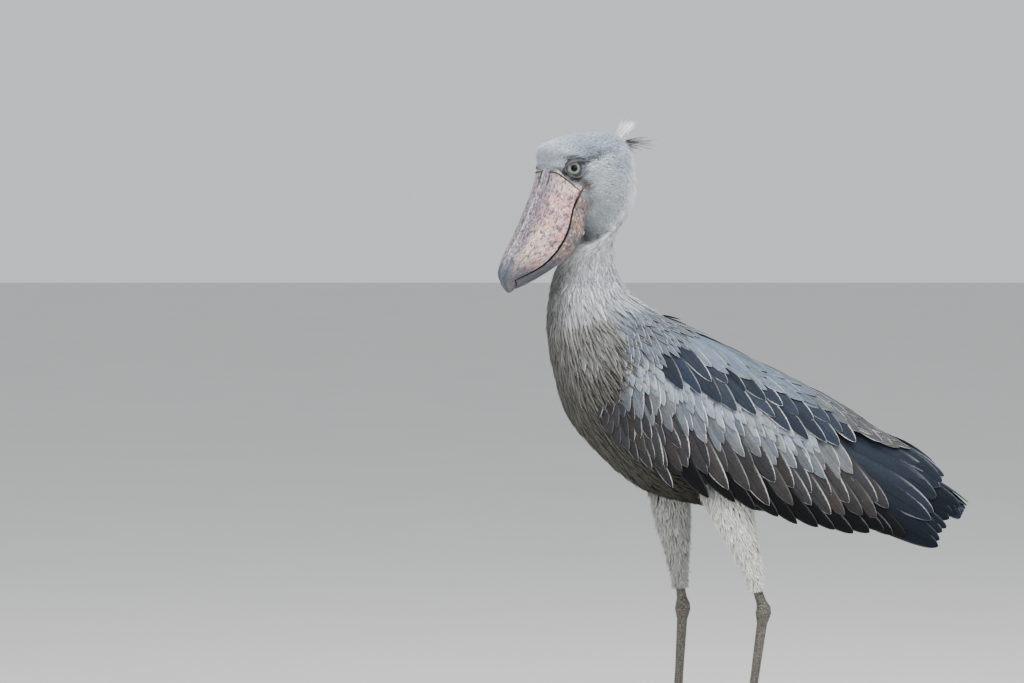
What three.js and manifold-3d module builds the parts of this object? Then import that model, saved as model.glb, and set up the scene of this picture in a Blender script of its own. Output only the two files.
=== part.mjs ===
// Shoebill, a still life-size model in the stance of a slow walk.
// Millimetres, +Z up. The bill points to -X and the bird's left side faces -Y.
// The profile is drawn with the head straight, and the head is then turned to the left.

import * as THREE from 'three';
import Module from 'manifold-3d';

const wasm = await Module();
wasm.setup();

// Driving sizes
const GAP = 0.3;
const HEAD_TURN = THREE.MathUtils.degToRad(30);
const HEAD_PIVOT_X = -165;
const FLOOR = 0;

// Sections of the trunk, from the bill's base over the head, down the neck and along the back.
// Each has its upper point, its lower point (x, z) and half of its breadth.
const SECTIONS = [
  { at: 'bill base', top: [-272, 968], low: [-214, 886], half: 46 },
  { at: 'forehead', top: [-269, 1001], low: [-201, 876], half: 49 },
  { at: 'brow', top: [-222, 1020], low: [-191, 868], half: 50 },
  { at: 'crown', top: [-165, 1024], low: [-185, 860], half: 51 },
  { at: 'hind crown', top: [-129, 1013], low: [-182, 853], half: 50 },
  { at: 'nape', top: [-109, 969], low: [-182, 848], half: 48 },
  { at: 'cheek end', top: [-109, 919], low: [-186, 842], half: 45 },
  { at: 'throat', top: [-122, 889], low: [-198, 835], half: 38 },
  { at: 'upper neck', top: [-139, 858], low: [-214, 825], half: 34 },
  { at: 'middle neck', top: [-145, 828], low: [-231, 808], half: 36 },
  { at: 'low neck', top: [-139, 795], low: [-244, 776], half: 42 },
  { at: 'neck base', top: [-125, 766], low: [-249, 738], half: 52 },
  { at: 'shoulders', top: [-99, 741], low: [-249, 688], half: 66 },
  { at: 'breast', top: [-58, 713], low: [-239, 627], half: 84 },
  { at: 'keel', top: [0, 676], low: [-216, 556], half: 98 },
  { at: 'flank', top: [66, 642], low: [-168, 497], half: 102 },
  { at: 'belly', top: [132, 604], low: [-94, 436], half: 98 },
  { at: 'thighs', top: [198, 566], low: [0, 410], half: 86 },
  { at: 'vent', top: [248, 532], low: [107, 400], half: 66 },
  { at: 'rump', top: [284, 504], low: [201, 406], half: 42 },
  { at: 'tail root', top: [314, 478], low: [264, 416], half: 24 },
];
const HEAD_FROM = 0;
const HEAD_TO = 7.5;
const NECK_TO = 11.5;
const TRUNK_TO = 20;
const TURN_FADES_FROM = 6;
const TURN_FADES_TO = 11;
const RING_STEP = 0.5;
const TRUNK_SIDES = 20;
const HEAD_SIDES = 24;

// Sections of the folded wing, from the shoulder to the tip of the longest feathers.
// The upper edge lies "inner" from the middle of the back, and the side swells to "outer".
const WING_SECTIONS = [
  { at: 'shoulder', top: [-134, 730], low: [-184, 574], inner: 36, outer: 80, deep: 22 },
  { at: 'wrist', top: [-66, 717], low: [-134, 510], inner: 22, outer: 108, deep: 28 },
  { at: 'forearm', top: [25, 675], low: [-41, 459], inner: 10, outer: 122, deep: 30 },
  { at: 'elbow', top: [124, 624], low: [74, 416], inner: 4, outer: 120, deep: 28 },
  { at: 'tertials', top: [214, 577], low: [182, 383], inner: 5, outer: 102, deep: 24 },
  { at: 'hind wing', top: [284, 528], low: [272, 371], inner: 28, outer: 82, deep: 16 },
  { at: 'primaries', top: [338, 498], low: [338, 361], inner: 42, outer: 68, deep: 9 },
  { at: 'wing tip', top: [404, 458], low: [404, 340], inner: 46, outer: 56, deep: 4 },
];
const WING_CORE_TO = 6;
const WING_ARC = THREE.MathUtils.degToRad(120);
// The shortest length of a section's curve, by which an allowance is spread past its edges.
const WING_GIRTH = 60;
const WING_STRIPS = 7;

// Bill, with the head straight: ridge, cutting edge and lower outline, and half the breadth.
const BILL_SECTIONS = [
  { ridge: [-269, 968], edge: [-226, 930], under: [-200, 899], half: 47 },
  { ridge: [-284, 929], edge: [-246, 901], under: [-205, 869], half: 52 },
  { ridge: [-309, 875], edge: [-257, 866], under: [-219, 838], half: 56 },
  { ridge: [-331, 837], edge: [-273, 835], under: [-244, 813], half: 53 },
  { ridge: [-345, 815], edge: [-296, 809], under: [-276, 794], half: 45 },
  { ridge: [-353, 792], edge: [-322, 792], under: [-306, 777], half: 32 },
  { ridge: [-350, 774], edge: [-337, 783], under: [-328, 767], half: 17 },
];
const NAIL_TIP = [-337, 761];
const NAIL_CLOSES = 0.82;
// Half of the bill's cross sections, from the ridge or the lower outline to the cutting edge:
// share of the half breadth, and share of the way from the cutting edge outwards.
const UPPER_SHAPE = [
  [0, 1], [0.09, 0.985], [0.2, 0.925], [0.42, 0.915], [0.7, 0.79], [0.9, 0.48], [0.985, 0.2], [1, 0],
];
const LOWER_SHAPE = [[0.95, 0], [0.93, 0.3], [0.8, 0.62], [0.55, 0.88], [0.28, 0.98], [0, 1]];

const EYE_AT = [-237, 964];
const EYE_RADIUS = 15;
const EYE_SIDE = 36;

const HIP_SIDE = 54;
const LEGS = {
  left: {
    side: -1,
    thigh: [[22, 470, 34], [37, 432, 33], [54, 392, 29], [70, 348, 21], [84, 305, 13], [94, 268, 8.5]],
    ankle: [104, 239],
    foot: [74, 14],
    footSide: 58,
  },
  right: {
    side: 1,
    thigh: [[-58, 470, 33], [-50, 430, 30], [-44, 385, 26], [-38, 340, 19], [-33, 298, 12], [-30, 264, 8.5]],
    ankle: [-26, 236],
    foot: [-38, 14],
    footSide: 56,
  },
};
const SHANK_RADIUS = 7.5;
const ANKLE_RADIUS = 13;
const TARSUS_RADIUS = 7;
const PAD_RADIUS = 17;
const PAD_HEIGHT = 20;
const PAD_SIDES = 16;
// Share of the pad's radius at each share of its height.
const PAD_LEVELS = [[0.82, 0], [1, 0.28], [0.94, 0.6], [0.6, 1]];
const TOES = [
  { name: 'middle', length: 150, angle: 4, thick: 8.5 },
  { name: 'inner', length: 118, angle: -28, thick: 7.5 },
  { name: 'outer', length: 124, angle: 36, thick: 7.5 },
  { name: 'hind', length: 86, angle: 176, thick: 7 },
];
const TOE_STEPS = 6;
const TOE_JOINTS = 3;
const TOE_ROOT_HALF = 4.4;
const TOE_TAPER = 0.38;
const TOE_SWELL = 0.1;
const TOE_HEIGHT = 1.55;
// Half breadths and heights round a toe's section, from one edge of the sole to the other.
const TOE_SECTION = [[0.8, 0], [1, 0.38], [0.68, 0.84], [0, 1], [-0.68, 0.84], [-1, 0.38], [-0.8, 0]];
const CLAW_LENGTH = 22;
// Reach along the toe, height and radius of a claw's sections, the last two in toe thicknesses.
const CLAW_STEPS = [[0, 0.52, 0.48], [0.35, 0.56, 0.42], [0.7, 0.4, 0.26], [1, 0.12, 0.08]];

// Feather forms. Each tier runs between two root places and two tip places on the wing's (u, v)
// surface: u counts sections from the shoulder and v runs from the back to the lower edge.
const WING_TIERS = [
  { name: 'primaries', count: 6, roots: [[4.4, 0.74], [5.1, 0.5]], tips: [[7.05, 1.0], [7.35, 0.4]],
    width: 30, lift: [-4.5, 1.5], point: 0.75 },
  { name: 'secondaries', count: 7, roots: [[1.2, 0.66], [4.3, 0.6]], tips: [[2.7, 1.02], [6.1, 1.01]],
    width: 40, lift: [-4.5, 4], point: 0.25 },
  { name: 'tertials', count: 5, roots: [[4.2, 0.5], [4.5, 0.1]], tips: [[6.95, 0.7], [6.9, 0.08]],
    width: 36, lift: [-4.5, 6], point: 0.6, ribbed: true },
  { name: 'greater coverts', count: 7, roots: [[0.75, 0.58], [3.9, 0.5]], tips: [[1.7, 0.92], [5.3, 0.84]],
    width: 36, lift: [-4.5, 8], point: 0.3 },
  { name: 'median coverts', count: 7, roots: [[0.3, 0.5], [3.3, 0.42]], tips: [[1.0, 0.8], [4.3, 0.62]],
    width: 36, lift: [-4.5, 8], point: 0.25 },
  { name: 'lesser coverts', count: 6, roots: [[0.1, 0.4], [2.7, 0.33]], tips: [[0.55, 0.64], [3.4, 0.5]],
    width: 36, lift: [-4.5, 8], point: 0.2 },
  { name: 'scapulars', count: 7, roots: [[0.55, 0.26], [3.3, 0.1]], tips: [[1.4, 0.46], [4.9, 0.3]],
    width: 34, lift: [-4.5, 9], point: 0.5 },
];
// The tail: "fan" spreads the feathers from root to tip, and each pair lies lower and is shorter.
const TAIL_FEATHERS = {
  pairs: 5, width: 27, step: 8, fan: [0.35, 1.1], bow: 16, root: [304, 471], tip: [444, 411],
  lower: 2.2, shorter: 0.035, tilt: 0.1, point: 0.35,
};
const TAIL_CORE = [
  { at: [291, 446], up: [25, 31], half: 24 },
  { at: [330, 452], up: [7, 19], half: 30 },
  { at: [366, 452], up: [3, 7], half: 30 },
];
const TAIL_SIDES = 16;
// The crest: angles of the first and last feather, shortest and longest length, spread to the
// sides with the part of it that each feather leans, and droop of the tips.
const CREST = {
  count: 9, root: [-134, 1004], from: 58, to: -34, lengths: [34, 78], width: 6,
  spread: 11, lean: 0.012, droop: 7,
};
// Rows of long plumes around the trunk: root section, tip section, half of the angle that they
// cover about the breast (or about the back), their number and their width.
const PLUME_ROWS = [
  { node: 'neck', from: 9.3, to: 10.6, half: 62, count: 6, width: 19 },
  { node: 'neck', from: 10.3, to: 11.4, half: 66, count: 7, width: 20 },
  { node: 'torso', from: 11.7, to: 12.8, half: 60, count: 8, width: 21 },
  { node: 'torso', from: 12.4, to: 13.6, half: 50, count: 7, width: 22 },
  { node: 'torso', from: 13.1, to: 14.4, half: 40, count: 6, width: 23 },
  { node: 'torso', from: 13.8, to: 15.2, half: 34, count: 5, width: 24 },
  { node: 'torso', from: 11.8, to: 12.9, half: 34, count: 4, width: 22, back: true },
  { node: 'torso', from: 12.6, to: 13.7, half: 17, count: 3, width: 22, back: true },
];
const PLUME_LIFT = [-2.5, 4];
const PLUME_POINT = 0.9;
// Neighbouring feathers differ in length by this share, in waves of this step.
const UNEVEN = 0.06;
const UNEVEN_STEP = 2.4;
const LID = { reach: 11.2, radius: 10.2, thick: 1.9, way: [-0.28, 1, 0.02] };
const BROW = [[-270, 984, 30], [-246, 992, 42], [-216, 991, 47], [-196, 985, 49]];
const BROW_RADII = [2, 6, 5, 2];
const NOSTRIL = { from: 0.18, to: 0.62, across: 0.3, share: 0.87, radius: 1.7 };
const VANE_THICK = 1.2;
// A vane of half breadth h sags by h squared over this length.
const VANE_CURVE = 260;
const VANE_TILT = THREE.MathUtils.degToRad(7);

// The step, in sections or in shares of a length, over which a surface's slope is taken.
const SLOPE_STEP = 0.02;

// Colours
const GREY = 0xa8afb6;
const SLATE = 0x55606c;
const HORN = 0xb8a79f;
const LEG_GREY = 0x59564f;
const CLAW_DARK = 0x3b3a38;
const PALE_EYE = 0xdfe6d6;

// Catmull-Rom reading of a list of number rows at a fractional index.
function readRows(rows, t) {
  const last = rows.length - 1;
  const i = Math.min(Math.max(Math.floor(t), 0), last - 1);
  const f = t - i;
  const row = (k) => {
    if (k < 0) return rows[0].map((value, j) => 2 * value - rows[1][j]);
    if (k > last) return rows[last].map((value, j) => 2 * value - rows[last - 1][j]);
    return rows[k];
  };
  const [a, b, c, d] = [row(i - 1), row(i), row(i + 1), row(i + 2)];
  return b.map((value, j) => {
    const slopeIn = (c[j] - a[j]) / 2;
    const slopeOut = (d[j] - value) / 2;
    const f2 = f * f;
    const f3 = f2 * f;
    return (2 * f3 - 3 * f2 + 1) * value + (f3 - 2 * f2 + f) * slopeIn
      + (3 * f2 - 2 * f3) * c[j] + (f3 - f2) * slopeOut;
  });
}

function turnHead(point, weight) {
  const angle = HEAD_TURN * weight;
  const dx = point.x - HEAD_PIVOT_X;
  const x = HEAD_PIVOT_X + dx * Math.cos(angle) - point.y * Math.sin(angle);
  const y = dx * Math.sin(angle) + point.y * Math.cos(angle);
  return new THREE.Vector3(x, y, point.z);
}

const trunkRows = SECTIONS.map((s) => [...s.top, ...s.low, s.half]);

// A ring of points around the trunk at a fractional section, "grow" larger all round.
function trunkRing(t, sides, grow = 0, shift = 0) {
  const [topX, topZ, lowX, lowZ, half] = readRows(trunkRows, t);
  const middle = new THREE.Vector2((topX + lowX) / 2, (topZ + lowZ) / 2);
  const up = new THREE.Vector2(topX, topZ).sub(middle);
  const tall = up.length();
  up.normalize();
  const along = new THREE.Vector2(up.y, -up.x);
  const fade = THREE.MathUtils.smoothstep(t, TURN_FADES_FROM, TURN_FADES_TO);
  const ring = [];
  for (let k = 0; k < sides; k += 1) {
    const angle = (2 * Math.PI * k) / sides;
    const rise = Math.cos(angle) * (tall + grow);
    const reach = Math.sin(angle) * (half + grow);
    const flat = middle.clone().addScaledVector(up, rise).addScaledVector(along, shift);
    ring.push(turnHead(new THREE.Vector3(flat.x, reach, flat.y), 1 - fade));
  }
  return ring;
}

// A closed skin through rings of the same number of points, with flat ends.
function loft(rings) {
  const sides = rings[0].length;
  const points = rings.flat();
  const faces = [];
  for (let r = 0; r + 1 < rings.length; r += 1) {
    for (let k = 0; k < sides; k += 1) {
      const a = r * sides + k;
      const b = r * sides + (k + 1) % sides;
      faces.push([a, b, b + sides], [a, b + sides, a + sides]);
    }
  }
  [0, rings.length - 1].forEach((r) => {
    const centre = new THREE.Vector3();
    rings[r].forEach((point) => centre.addScaledVector(point, 1 / sides));
    points.push(centre);
    for (let k = 0; k < sides; k += 1) {
      const a = r * sides + k;
      const b = r * sides + (k + 1) % sides;
      faces.push(r === 0 ? [b, a, points.length - 1] : [a, b, points.length - 1]);
    }
  });
  return facing(points, faces);
}

// A geometry from points and faces, turned so that its faces point outwards.
function facing(points, faces) {
  let volume = 0;
  faces.forEach(([a, b, c]) => {
    volume += points[a].dot(new THREE.Vector3().crossVectors(points[b], points[c]));
  });
  const order = volume < 0 ? faces.map(([a, b, c]) => [a, c, b]) : faces;
  const geometry = new THREE.BufferGeometry();
  const places = points.flatMap((point) => point.toArray());
  geometry.setAttribute('position', new THREE.Float32BufferAttribute(places, 3));
  geometry.setIndex(order.flat());
  return geometry;
}

function toSolid(geometry) {
  const vertProperties = new Float32Array(geometry.getAttribute('position').array);
  const triVerts = new Uint32Array(geometry.getIndex().array);
  return new wasm.Manifold(new wasm.Mesh({ numProp: 3, vertProperties, triVerts }));
}

function toGeometry(solid) {
  const { vertProperties, triVerts } = solid.getMesh();
  const geometry = new THREE.BufferGeometry();
  geometry.setAttribute('position', new THREE.Float32BufferAttribute(vertProperties, 3));
  geometry.setIndex(Array.from(triVerts));
  return geometry;
}

function largest(solid) {
  return solid.decompose().reduce((best, piece) => (piece.volume() > best.volume() ? piece : best));
}

// Trunk: rings a fixed part of a section apart, with flat ends set back by half a gap.
function trunkSolid(from, to, sides, grow = 0) {
  const count = Math.round((to - from) / RING_STEP);
  const rings = [];
  for (let k = 0; k <= count; k += 1) {
    const t = from + ((to - from) * k) / count;
    const inset = GAP / 2 - grow;
    const shift = k === 0 ? inset : (k === count ? -inset : 0);
    rings.push(trunkRing(t, sides, grow, shift));
  }
  return toSolid(loft(rings));
}

const wingRows = WING_SECTIONS.map((s) => [...s.top, ...s.low, s.inner, s.outer, s.deep]);

// A point on the folded wing's outer side: u counts sections and v runs from back to lower edge.
function wingPoint(u, v, side) {
  const [topX, topZ, lowX, lowZ, inner, outer] = readRows(wingRows, u);
  const angle = v * WING_ARC;
  const fall = (1 - Math.cos(angle)) / (1 - Math.cos(WING_ARC));
  const reach = inner + (outer - inner) * Math.sin(angle);
  return new THREE.Vector3(topX + (lowX - topX) * fall, side * reach, topZ + (lowZ - topZ) * fall);
}

function wingNormal(u, v, side) {
  const along = wingPoint(u + SLOPE_STEP, v, side).sub(wingPoint(u - SLOPE_STEP, v, side));
  const down = wingPoint(u, v + SLOPE_STEP, side).sub(wingPoint(u, v - SLOPE_STEP, side));
  return along.cross(down).multiplyScalar(side).normalize();
}

function wingSolid(side, grow = 0) {
  const rings = [];
  for (let u = 0; u <= WING_CORE_TO; u += 1) {
    const deep = readRows(wingRows, u)[6];
    const outside = [];
    const inside = [];
    for (let k = 0; k <= WING_STRIPS; k += 1) {
      const v = 0.5 + (k / WING_STRIPS - 0.5) * (1 + grow / WING_GIRTH);
      const point = wingPoint(u, v, side);
      const normal = wingNormal(u, v, side);
      outside.push(point.clone().addScaledVector(normal, grow));
      inside.unshift(point.clone().addScaledVector(normal, -deep - grow));
    }
    rings.push([...outside, ...inside]);
  }
  return toSolid(loft(rings));
}

// Bill: the upper half is a ridged, swollen vault and the lower half a shallow keel beneath it.
const billRows = BILL_SECTIONS.map((s) => [...s.ridge, ...s.edge, ...s.under, s.half]);

function billPoint(row, across, share, upper) {
  const [ridgeX, ridgeZ, edgeX, edgeZ, underX, underZ, half] = row;
  const farX = upper ? ridgeX : underX;
  const farZ = upper ? ridgeZ : underZ;
  return new THREE.Vector3(edgeX + (farX - edgeX) * share, across * half, edgeZ + (farZ - edgeZ) * share);
}

function billRing(t, upper) {
  const row = readRows(billRows, t);
  const shape = upper ? UPPER_SHAPE : [...LOWER_SHAPE].reverse();
  const left = shape.map(([across, share]) => billPoint(row, -across, share, upper));
  const right = shape.slice(1).reverse().map(([across, share]) => billPoint(row, across, share, upper));
  const inward = new THREE.Vector3(row[upper ? 0 : 4] - row[2], 0, row[upper ? 1 : 5] - row[3]).normalize();
  const ring = [...left, ...right];
  ring.forEach((point) => {
    const height = point.clone().sub(new THREE.Vector3(row[2], 0, row[3])).dot(inward);
    if (height < GAP / 2) point.addScaledVector(inward, GAP / 2 - height);
  });
  return ring;
}

function billSolid(upper) {
  const rings = [];
  const last = BILL_SECTIONS.length - 1;
  for (let t = 0; t <= last; t += 0.5) {
    rings.push(billRing(t, upper));
  }
  if (upper) {
    const tip = new THREE.Vector3(NAIL_TIP[0], 0, NAIL_TIP[1]);
    rings.push(billRing(last, true).map((point) => point.lerp(tip, NAIL_CLOSES)));
  }
  return toSolid(loft(rings.map((ring) => ring.map((point) => turnHead(point, 1)))));
}

// The breadth of a vane at a share of its length: narrow root, full middle and a tip that is
// round at point 0 and drawn out at point 1.
function vaneBreadth(share, point) {
  if (share < 0.5) return 0.55 + 0.9 * share;
  const towards = (share - 0.5) / 0.5;
  return Math.max(1 - towards ** (3 - 1.9 * point), 0.12);
}

// A feather vane as a closed blade. "frameAt" gives the place, the direction across and the way up
// for a share of the length. A ribbed vane has its shaft as a third column of points. Both faces
// are split into triangles alike.
function vane(frameAt, { width, point, ribbed = false, steps = 3, thick = VANE_THICK }) {
  const columns = ribbed ? [-1, 0, 1] : [-1, 1];
  const points = [];
  for (let k = 0; k <= steps; k += 1) {
    const share = Math.sin((k / steps) * (Math.PI / 2)) ** 0.9;
    const { at, across, up } = frameAt(share);
    const half = (width / 2) * vaneBreadth(share, point);
    const deep = thick * (1 - 0.55 * share);
    const sag = (half * half) / VANE_CURVE;
    columns.forEach((reach) => {
      const centre = at.clone().addScaledVector(across, half * reach);
      centre.addScaledVector(up, -sag * reach * reach);
      [deep / 2, -deep / 2].forEach((rise) => points.push(centre.clone().addScaledVector(up, rise)));
    });
  }
  const faces = [];
  const quad = (a, b, c, d) => faces.push([a, b, c], [a, c, d]);
  const stride = columns.length * 2;
  const strips = columns.slice(1).map((unused, k) => 2 * k);
  for (let k = 0; k < steps; k += 1) {
    const near = k * stride;
    const far = near + stride;
    strips.forEach((column) => {
      quad(near + column, near + column + 2, far + column + 2, far + column);
      faces.push([near + column + 1, far + column + 3, near + column + 3]);
      faces.push([near + column + 1, far + column + 1, far + column + 3]);
    });
    quad(near, far, far + 1, near + 1);
    quad(near + stride - 2, near + stride - 1, far + stride - 1, far + stride - 2);
  }
  const end = steps * stride;
  strips.forEach((column) => {
    quad(column + 1, column + 3, column + 2, column);
    quad(end + column, end + column + 2, end + column + 3, end + column + 1);
  });
  return toSolid(facing(points, faces));
}

// One tier of vanes on a wing. Neighbours are tilted alike, so that they lie over one another.
function wingTier(tier, side) {
  const vanes = [];
  for (let k = 0; k < tier.count; k += 1) {
    const share = k / (tier.count - 1);
    const jitter = 1 + UNEVEN * Math.sin(UNEVEN_STEP * k + tier.width);
    const root = mixPair(tier.roots, share);
    const tip = mixPair(tier.tips, share).map((value, j) => root[j] + (value - root[j]) * jitter);
    const frameAt = (length) => {
      const u = root[0] + (tip[0] - root[0]) * length;
      const v = root[1] + (tip[1] - root[1]) * length;
      const up = wingNormal(u, v, side);
      const nextU = u + (tip[0] - root[0]) * SLOPE_STEP;
      const nextV = v + (tip[1] - root[1]) * SLOPE_STEP;
      const along = wingPoint(nextU, nextV, side).sub(wingPoint(u, v, side)).normalize();
      const across = new THREE.Vector3().crossVectors(up, along).multiplyScalar(side).normalize();
      const tilted = across.clone().applyAxisAngle(along, -side * VANE_TILT);
      const raised = up.clone().applyAxisAngle(along, -side * VANE_TILT);
      const lift = tier.lift[0] + (tier.lift[1] - tier.lift[0]) * length;
      return { at: wingPoint(u, v, side).addScaledVector(up, lift), across: tilted, up: raised };
    };
    vanes.push(vane(frameAt, tier));
  }
  return vanes;
}

function mixPair([first, last], share) {
  return first.map((value, j) => value + (last[j] - value) * share);
}

// A point and its outward direction on the trunk, by section and by angle from the back.
function trunkPoint(t, angle) {
  const [topX, topZ, lowX, lowZ, half] = readRows(trunkRows, t);
  const fade = THREE.MathUtils.smoothstep(t, TURN_FADES_FROM, TURN_FADES_TO);
  const rise = Math.cos(angle) / 2;
  const x = (topX + lowX) / 2 + (topX - lowX) * rise;
  const z = (topZ + lowZ) / 2 + (topZ - lowZ) * rise;
  return turnHead(new THREE.Vector3(x, half * Math.sin(angle), z), 1 - fade);
}

function trunkFrame(t, angle) {
  const at = trunkPoint(t, angle);
  const along = trunkPoint(t + SLOPE_STEP, angle).sub(at).normalize();
  const round = trunkPoint(t, angle + SLOPE_STEP).sub(at).normalize();
  const up = along.clone().cross(round).normalize();
  const [topX, topZ, lowX, lowZ] = readRows(trunkRows, t);
  const outward = at.clone().sub(new THREE.Vector3((topX + lowX) / 2, 0, (topZ + lowZ) / 2));
  if (up.dot(outward) < 0) up.negate();
  return { at, along, up, across: up.clone().cross(along).normalize() };
}

// Long plumes in one row about the breast or the back, each leaning a little over the next.
function plumeRow(row) {
  return Array.from({ length: row.count }, (unused, k) => {
    const share = k / (row.count - 1) - 0.5;
    const centre = row.back ? 0 : Math.PI;
    const half = THREE.MathUtils.degToRad(row.half);
    const angle = centre + 2 * half * share;
    const jitter = 1 + UNEVEN * Math.sin(UNEVEN_STEP * k + row.from);
    const frameAt = (length) => {
      const t = row.from + (row.to - row.from) * length * jitter;
      const { at, along, up, across } = trunkFrame(t, angle);
      const tilt = VANE_TILT * (share <= 0 ? 1 : -1);
      const lift = PLUME_LIFT[0] + (PLUME_LIFT[1] - PLUME_LIFT[0]) * length;
      return {
        at: at.addScaledVector(up, lift),
        across: across.applyAxisAngle(along, tilt),
        up: up.applyAxisAngle(along, tilt),
      };
    };
    return vane(frameAt, { width: row.width, point: PLUME_POINT, steps: 2 });
  });
}

function plumesOf(node) {
  return PLUME_ROWS.filter((row) => row.node === node).flatMap(plumeRow);
}

function joinAll(first, others) {
  return others.reduce((joined, piece) => joined.add(piece), first);
}

// The tail's feathers: one in the middle on top, and pairs that lie lower and wider beneath it.
function tailVanes() {
  const { pairs, width, step, fan, bow, root, tip, lower, shorter, tilt, point } = TAIL_FEATHERS;
  return Array.from({ length: 2 * pairs + 1 }, (unused, k) => {
    const place = k - pairs;
    const rank = Math.abs(place);
    const way = new THREE.Vector3(tip[0] - root[0], 0, tip[1] - root[1]).normalize();
    const up = new THREE.Vector3(-way.z, Math.sign(place) * tilt, way.x).normalize();
    const across = up.clone().cross(way).normalize();
    const frameAt = (length) => {
      const x = root[0] + (tip[0] - root[0]) * length * (1 - shorter * rank);
      const arch = 4 * bow * length * (1 - length);
      const z = root[1] + (tip[1] - root[1]) * length + arch - lower * rank;
      const y = place * step * (fan[0] + (fan[1] - fan[0]) * length);
      return { at: new THREE.Vector3(x, y, z), up, across };
    };
    return vane(frameAt, { width, point, ribbed: true });
  });
}

// The loose crest at the nape, feather by feather, fanned from upright to drooping.
function crestVanes() {
  return Array.from({ length: CREST.count }, (unused, k) => {
    const share = k / (CREST.count - 1);
    const angle = THREE.MathUtils.degToRad(CREST.from + (CREST.to - CREST.from) * share);
    const [shortest, longest] = CREST.lengths;
    const reach = shortest + (longest - shortest) * Math.sin(Math.PI * share) ** 2;
    const aside = CREST.spread * Math.sin(UNEVEN_STEP * k);
    const along = new THREE.Vector3(Math.cos(angle), CREST.lean * aside, Math.sin(angle)).normalize();
    const up = turnWay(new THREE.Vector3(-Math.sin(angle), 0, Math.cos(angle)));
    const across = turnWay(new THREE.Vector3(0, 1, 0));
    const frameAt = (length) => {
      const at = new THREE.Vector3(CREST.root[0], aside, CREST.root[1]);
      at.addScaledVector(along, reach * length);
      at.z -= CREST.droop * length * length;
      return { at: turnHead(at, 1), up, across };
    };
    return vane(frameAt, { width: CREST.width, point: 1, steps: 2 });
  });
}

// A direction turned with the head.
function turnWay(way) {
  return way.applyAxisAngle(new THREE.Vector3(0, 0, 1), HEAD_TURN);
}

function ball(centre, radius, wide = 14, tall = 8) {
  const geometry = new THREE.SphereGeometry(radius, wide, tall);
  geometry.translate(centre.x, centre.y, centre.z);
  return weld(geometry);
}

// The same geometry with shared corners, so that it counts as closed.
function weld(geometry) {
  const source = geometry.getAttribute('position');
  const index = geometry.getIndex();
  const points = [];
  const seen = new Map();
  const place = (k) => {
    const point = new THREE.Vector3().fromBufferAttribute(source, k);
    const key = point.toArray().map((value) => Math.round(value * 1e4)).join(' ');
    if (!seen.has(key)) {
      seen.set(key, points.length);
      points.push(point);
    }
    return seen.get(key);
  };
  const faces = [];
  for (let k = 0; k < index.count; k += 3) {
    const face = [place(index.getX(k)), place(index.getX(k + 1)), place(index.getX(k + 2))];
    if (new Set(face).size === 3) faces.push(face);
  }
  return toSolid(facing(points, faces));
}

// A round limb through centres with their own radii. Its flat ends are square to the limb,
// or to the given directions.
function limb(stops, sides = 10, firstAlong = null, lastAlong = null) {
  const last = stops.length - 1;
  const rings = stops.map(({ at, radius }, k) => {
    let along = stops[Math.min(k + 1, last)].at.clone().sub(stops[Math.max(k - 1, 0)].at);
    if (k === 0 && firstAlong) along = firstAlong.clone();
    if (k === last && lastAlong) along = lastAlong.clone();
    along.normalize();
    const across = new THREE.Vector3(0, 1, 0).cross(along).normalize();
    const third = along.clone().cross(across);
    return Array.from({ length: sides }, (unused, j) => {
      const angle = (2 * Math.PI * j) / sides;
      return at.clone().addScaledVector(across, radius * Math.cos(angle))
        .addScaledVector(third, radius * Math.sin(angle));
    });
  });
  return toSolid(loft(rings));
}

// The pad under the toe joints, flat on the floor.
function padSolid(foot) {
  return toSolid(loft(PAD_LEVELS.map(([wide, high]) => (
    Array.from({ length: PAD_SIDES }, (unused, k) => {
      const angle = (2 * Math.PI * k) / PAD_SIDES;
      const reach = PAD_RADIUS * wide;
      return new THREE.Vector3(
        foot.x + reach * Math.cos(angle), foot.y + reach * Math.sin(angle), FLOOR + PAD_HEIGHT * high);
    })
  ))));
}

// A toe with a flat sole, swelling at its joints, and narrow where it leaves the pad.
function toeSolid(foot, toe, angle) {
  const along = new THREE.Vector3(-Math.cos(angle), Math.sin(angle), 0);
  const across = new THREE.Vector3(along.y, -along.x, 0);
  const rings = [];
  for (let k = 0; k <= TOE_STEPS; k += 1) {
    const share = k / TOE_STEPS;
    const swell = 1 + TOE_SWELL * Math.cos(share * TOE_JOINTS * 2 * Math.PI);
    const body = toe.thick * (1 - TOE_TAPER * share) * swell * Math.min(1, 0.66 + 1.6 * share);
    const wide = share === 0 ? TOE_ROOT_HALF : body;
    const centre = foot.clone().setZ(FLOOR);
    centre.addScaledVector(along, PAD_RADIUS + GAP + toe.length * share);
    rings.push(TOE_SECTION.map(([side, rise]) => (
      centre.clone().addScaledVector(across, wide * side).setZ(FLOOR + TOE_HEIGHT * body * rise)
    )));
  }
  const end = foot.clone().addScaledVector(along, PAD_RADIUS + toe.length);
  return { solid: toSolid(loft(rings)), end, along };
}

function clawSolid(end, along, thick) {
  const across = new THREE.Vector3(along.y, -along.x, 0);
  const rings = CLAW_STEPS.map(([reach, rise, size]) => (
    Array.from({ length: 8 }, (unused, k) => {
      const angle = (2 * Math.PI * k) / 8;
      const radius = thick * size;
      const centre = end.clone().addScaledVector(along, 2 * GAP + CLAW_LENGTH * reach);
      centre.setZ(FLOOR + rise * thick + radius * Math.sin(angle));
      return centre.addScaledVector(across, radius * Math.cos(angle));
    })
  ));
  return toSolid(loft(rings));
}

const model = new THREE.Group();

function add(name, solid, colour, roughness) {
  const material = new THREE.MeshStandardMaterial({ color: colour, roughness, metalness: 0 });
  const mesh = new THREE.Mesh(toGeometry(largest(solid)), material);
  mesh.name = name;
  model.add(mesh);
}

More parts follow.
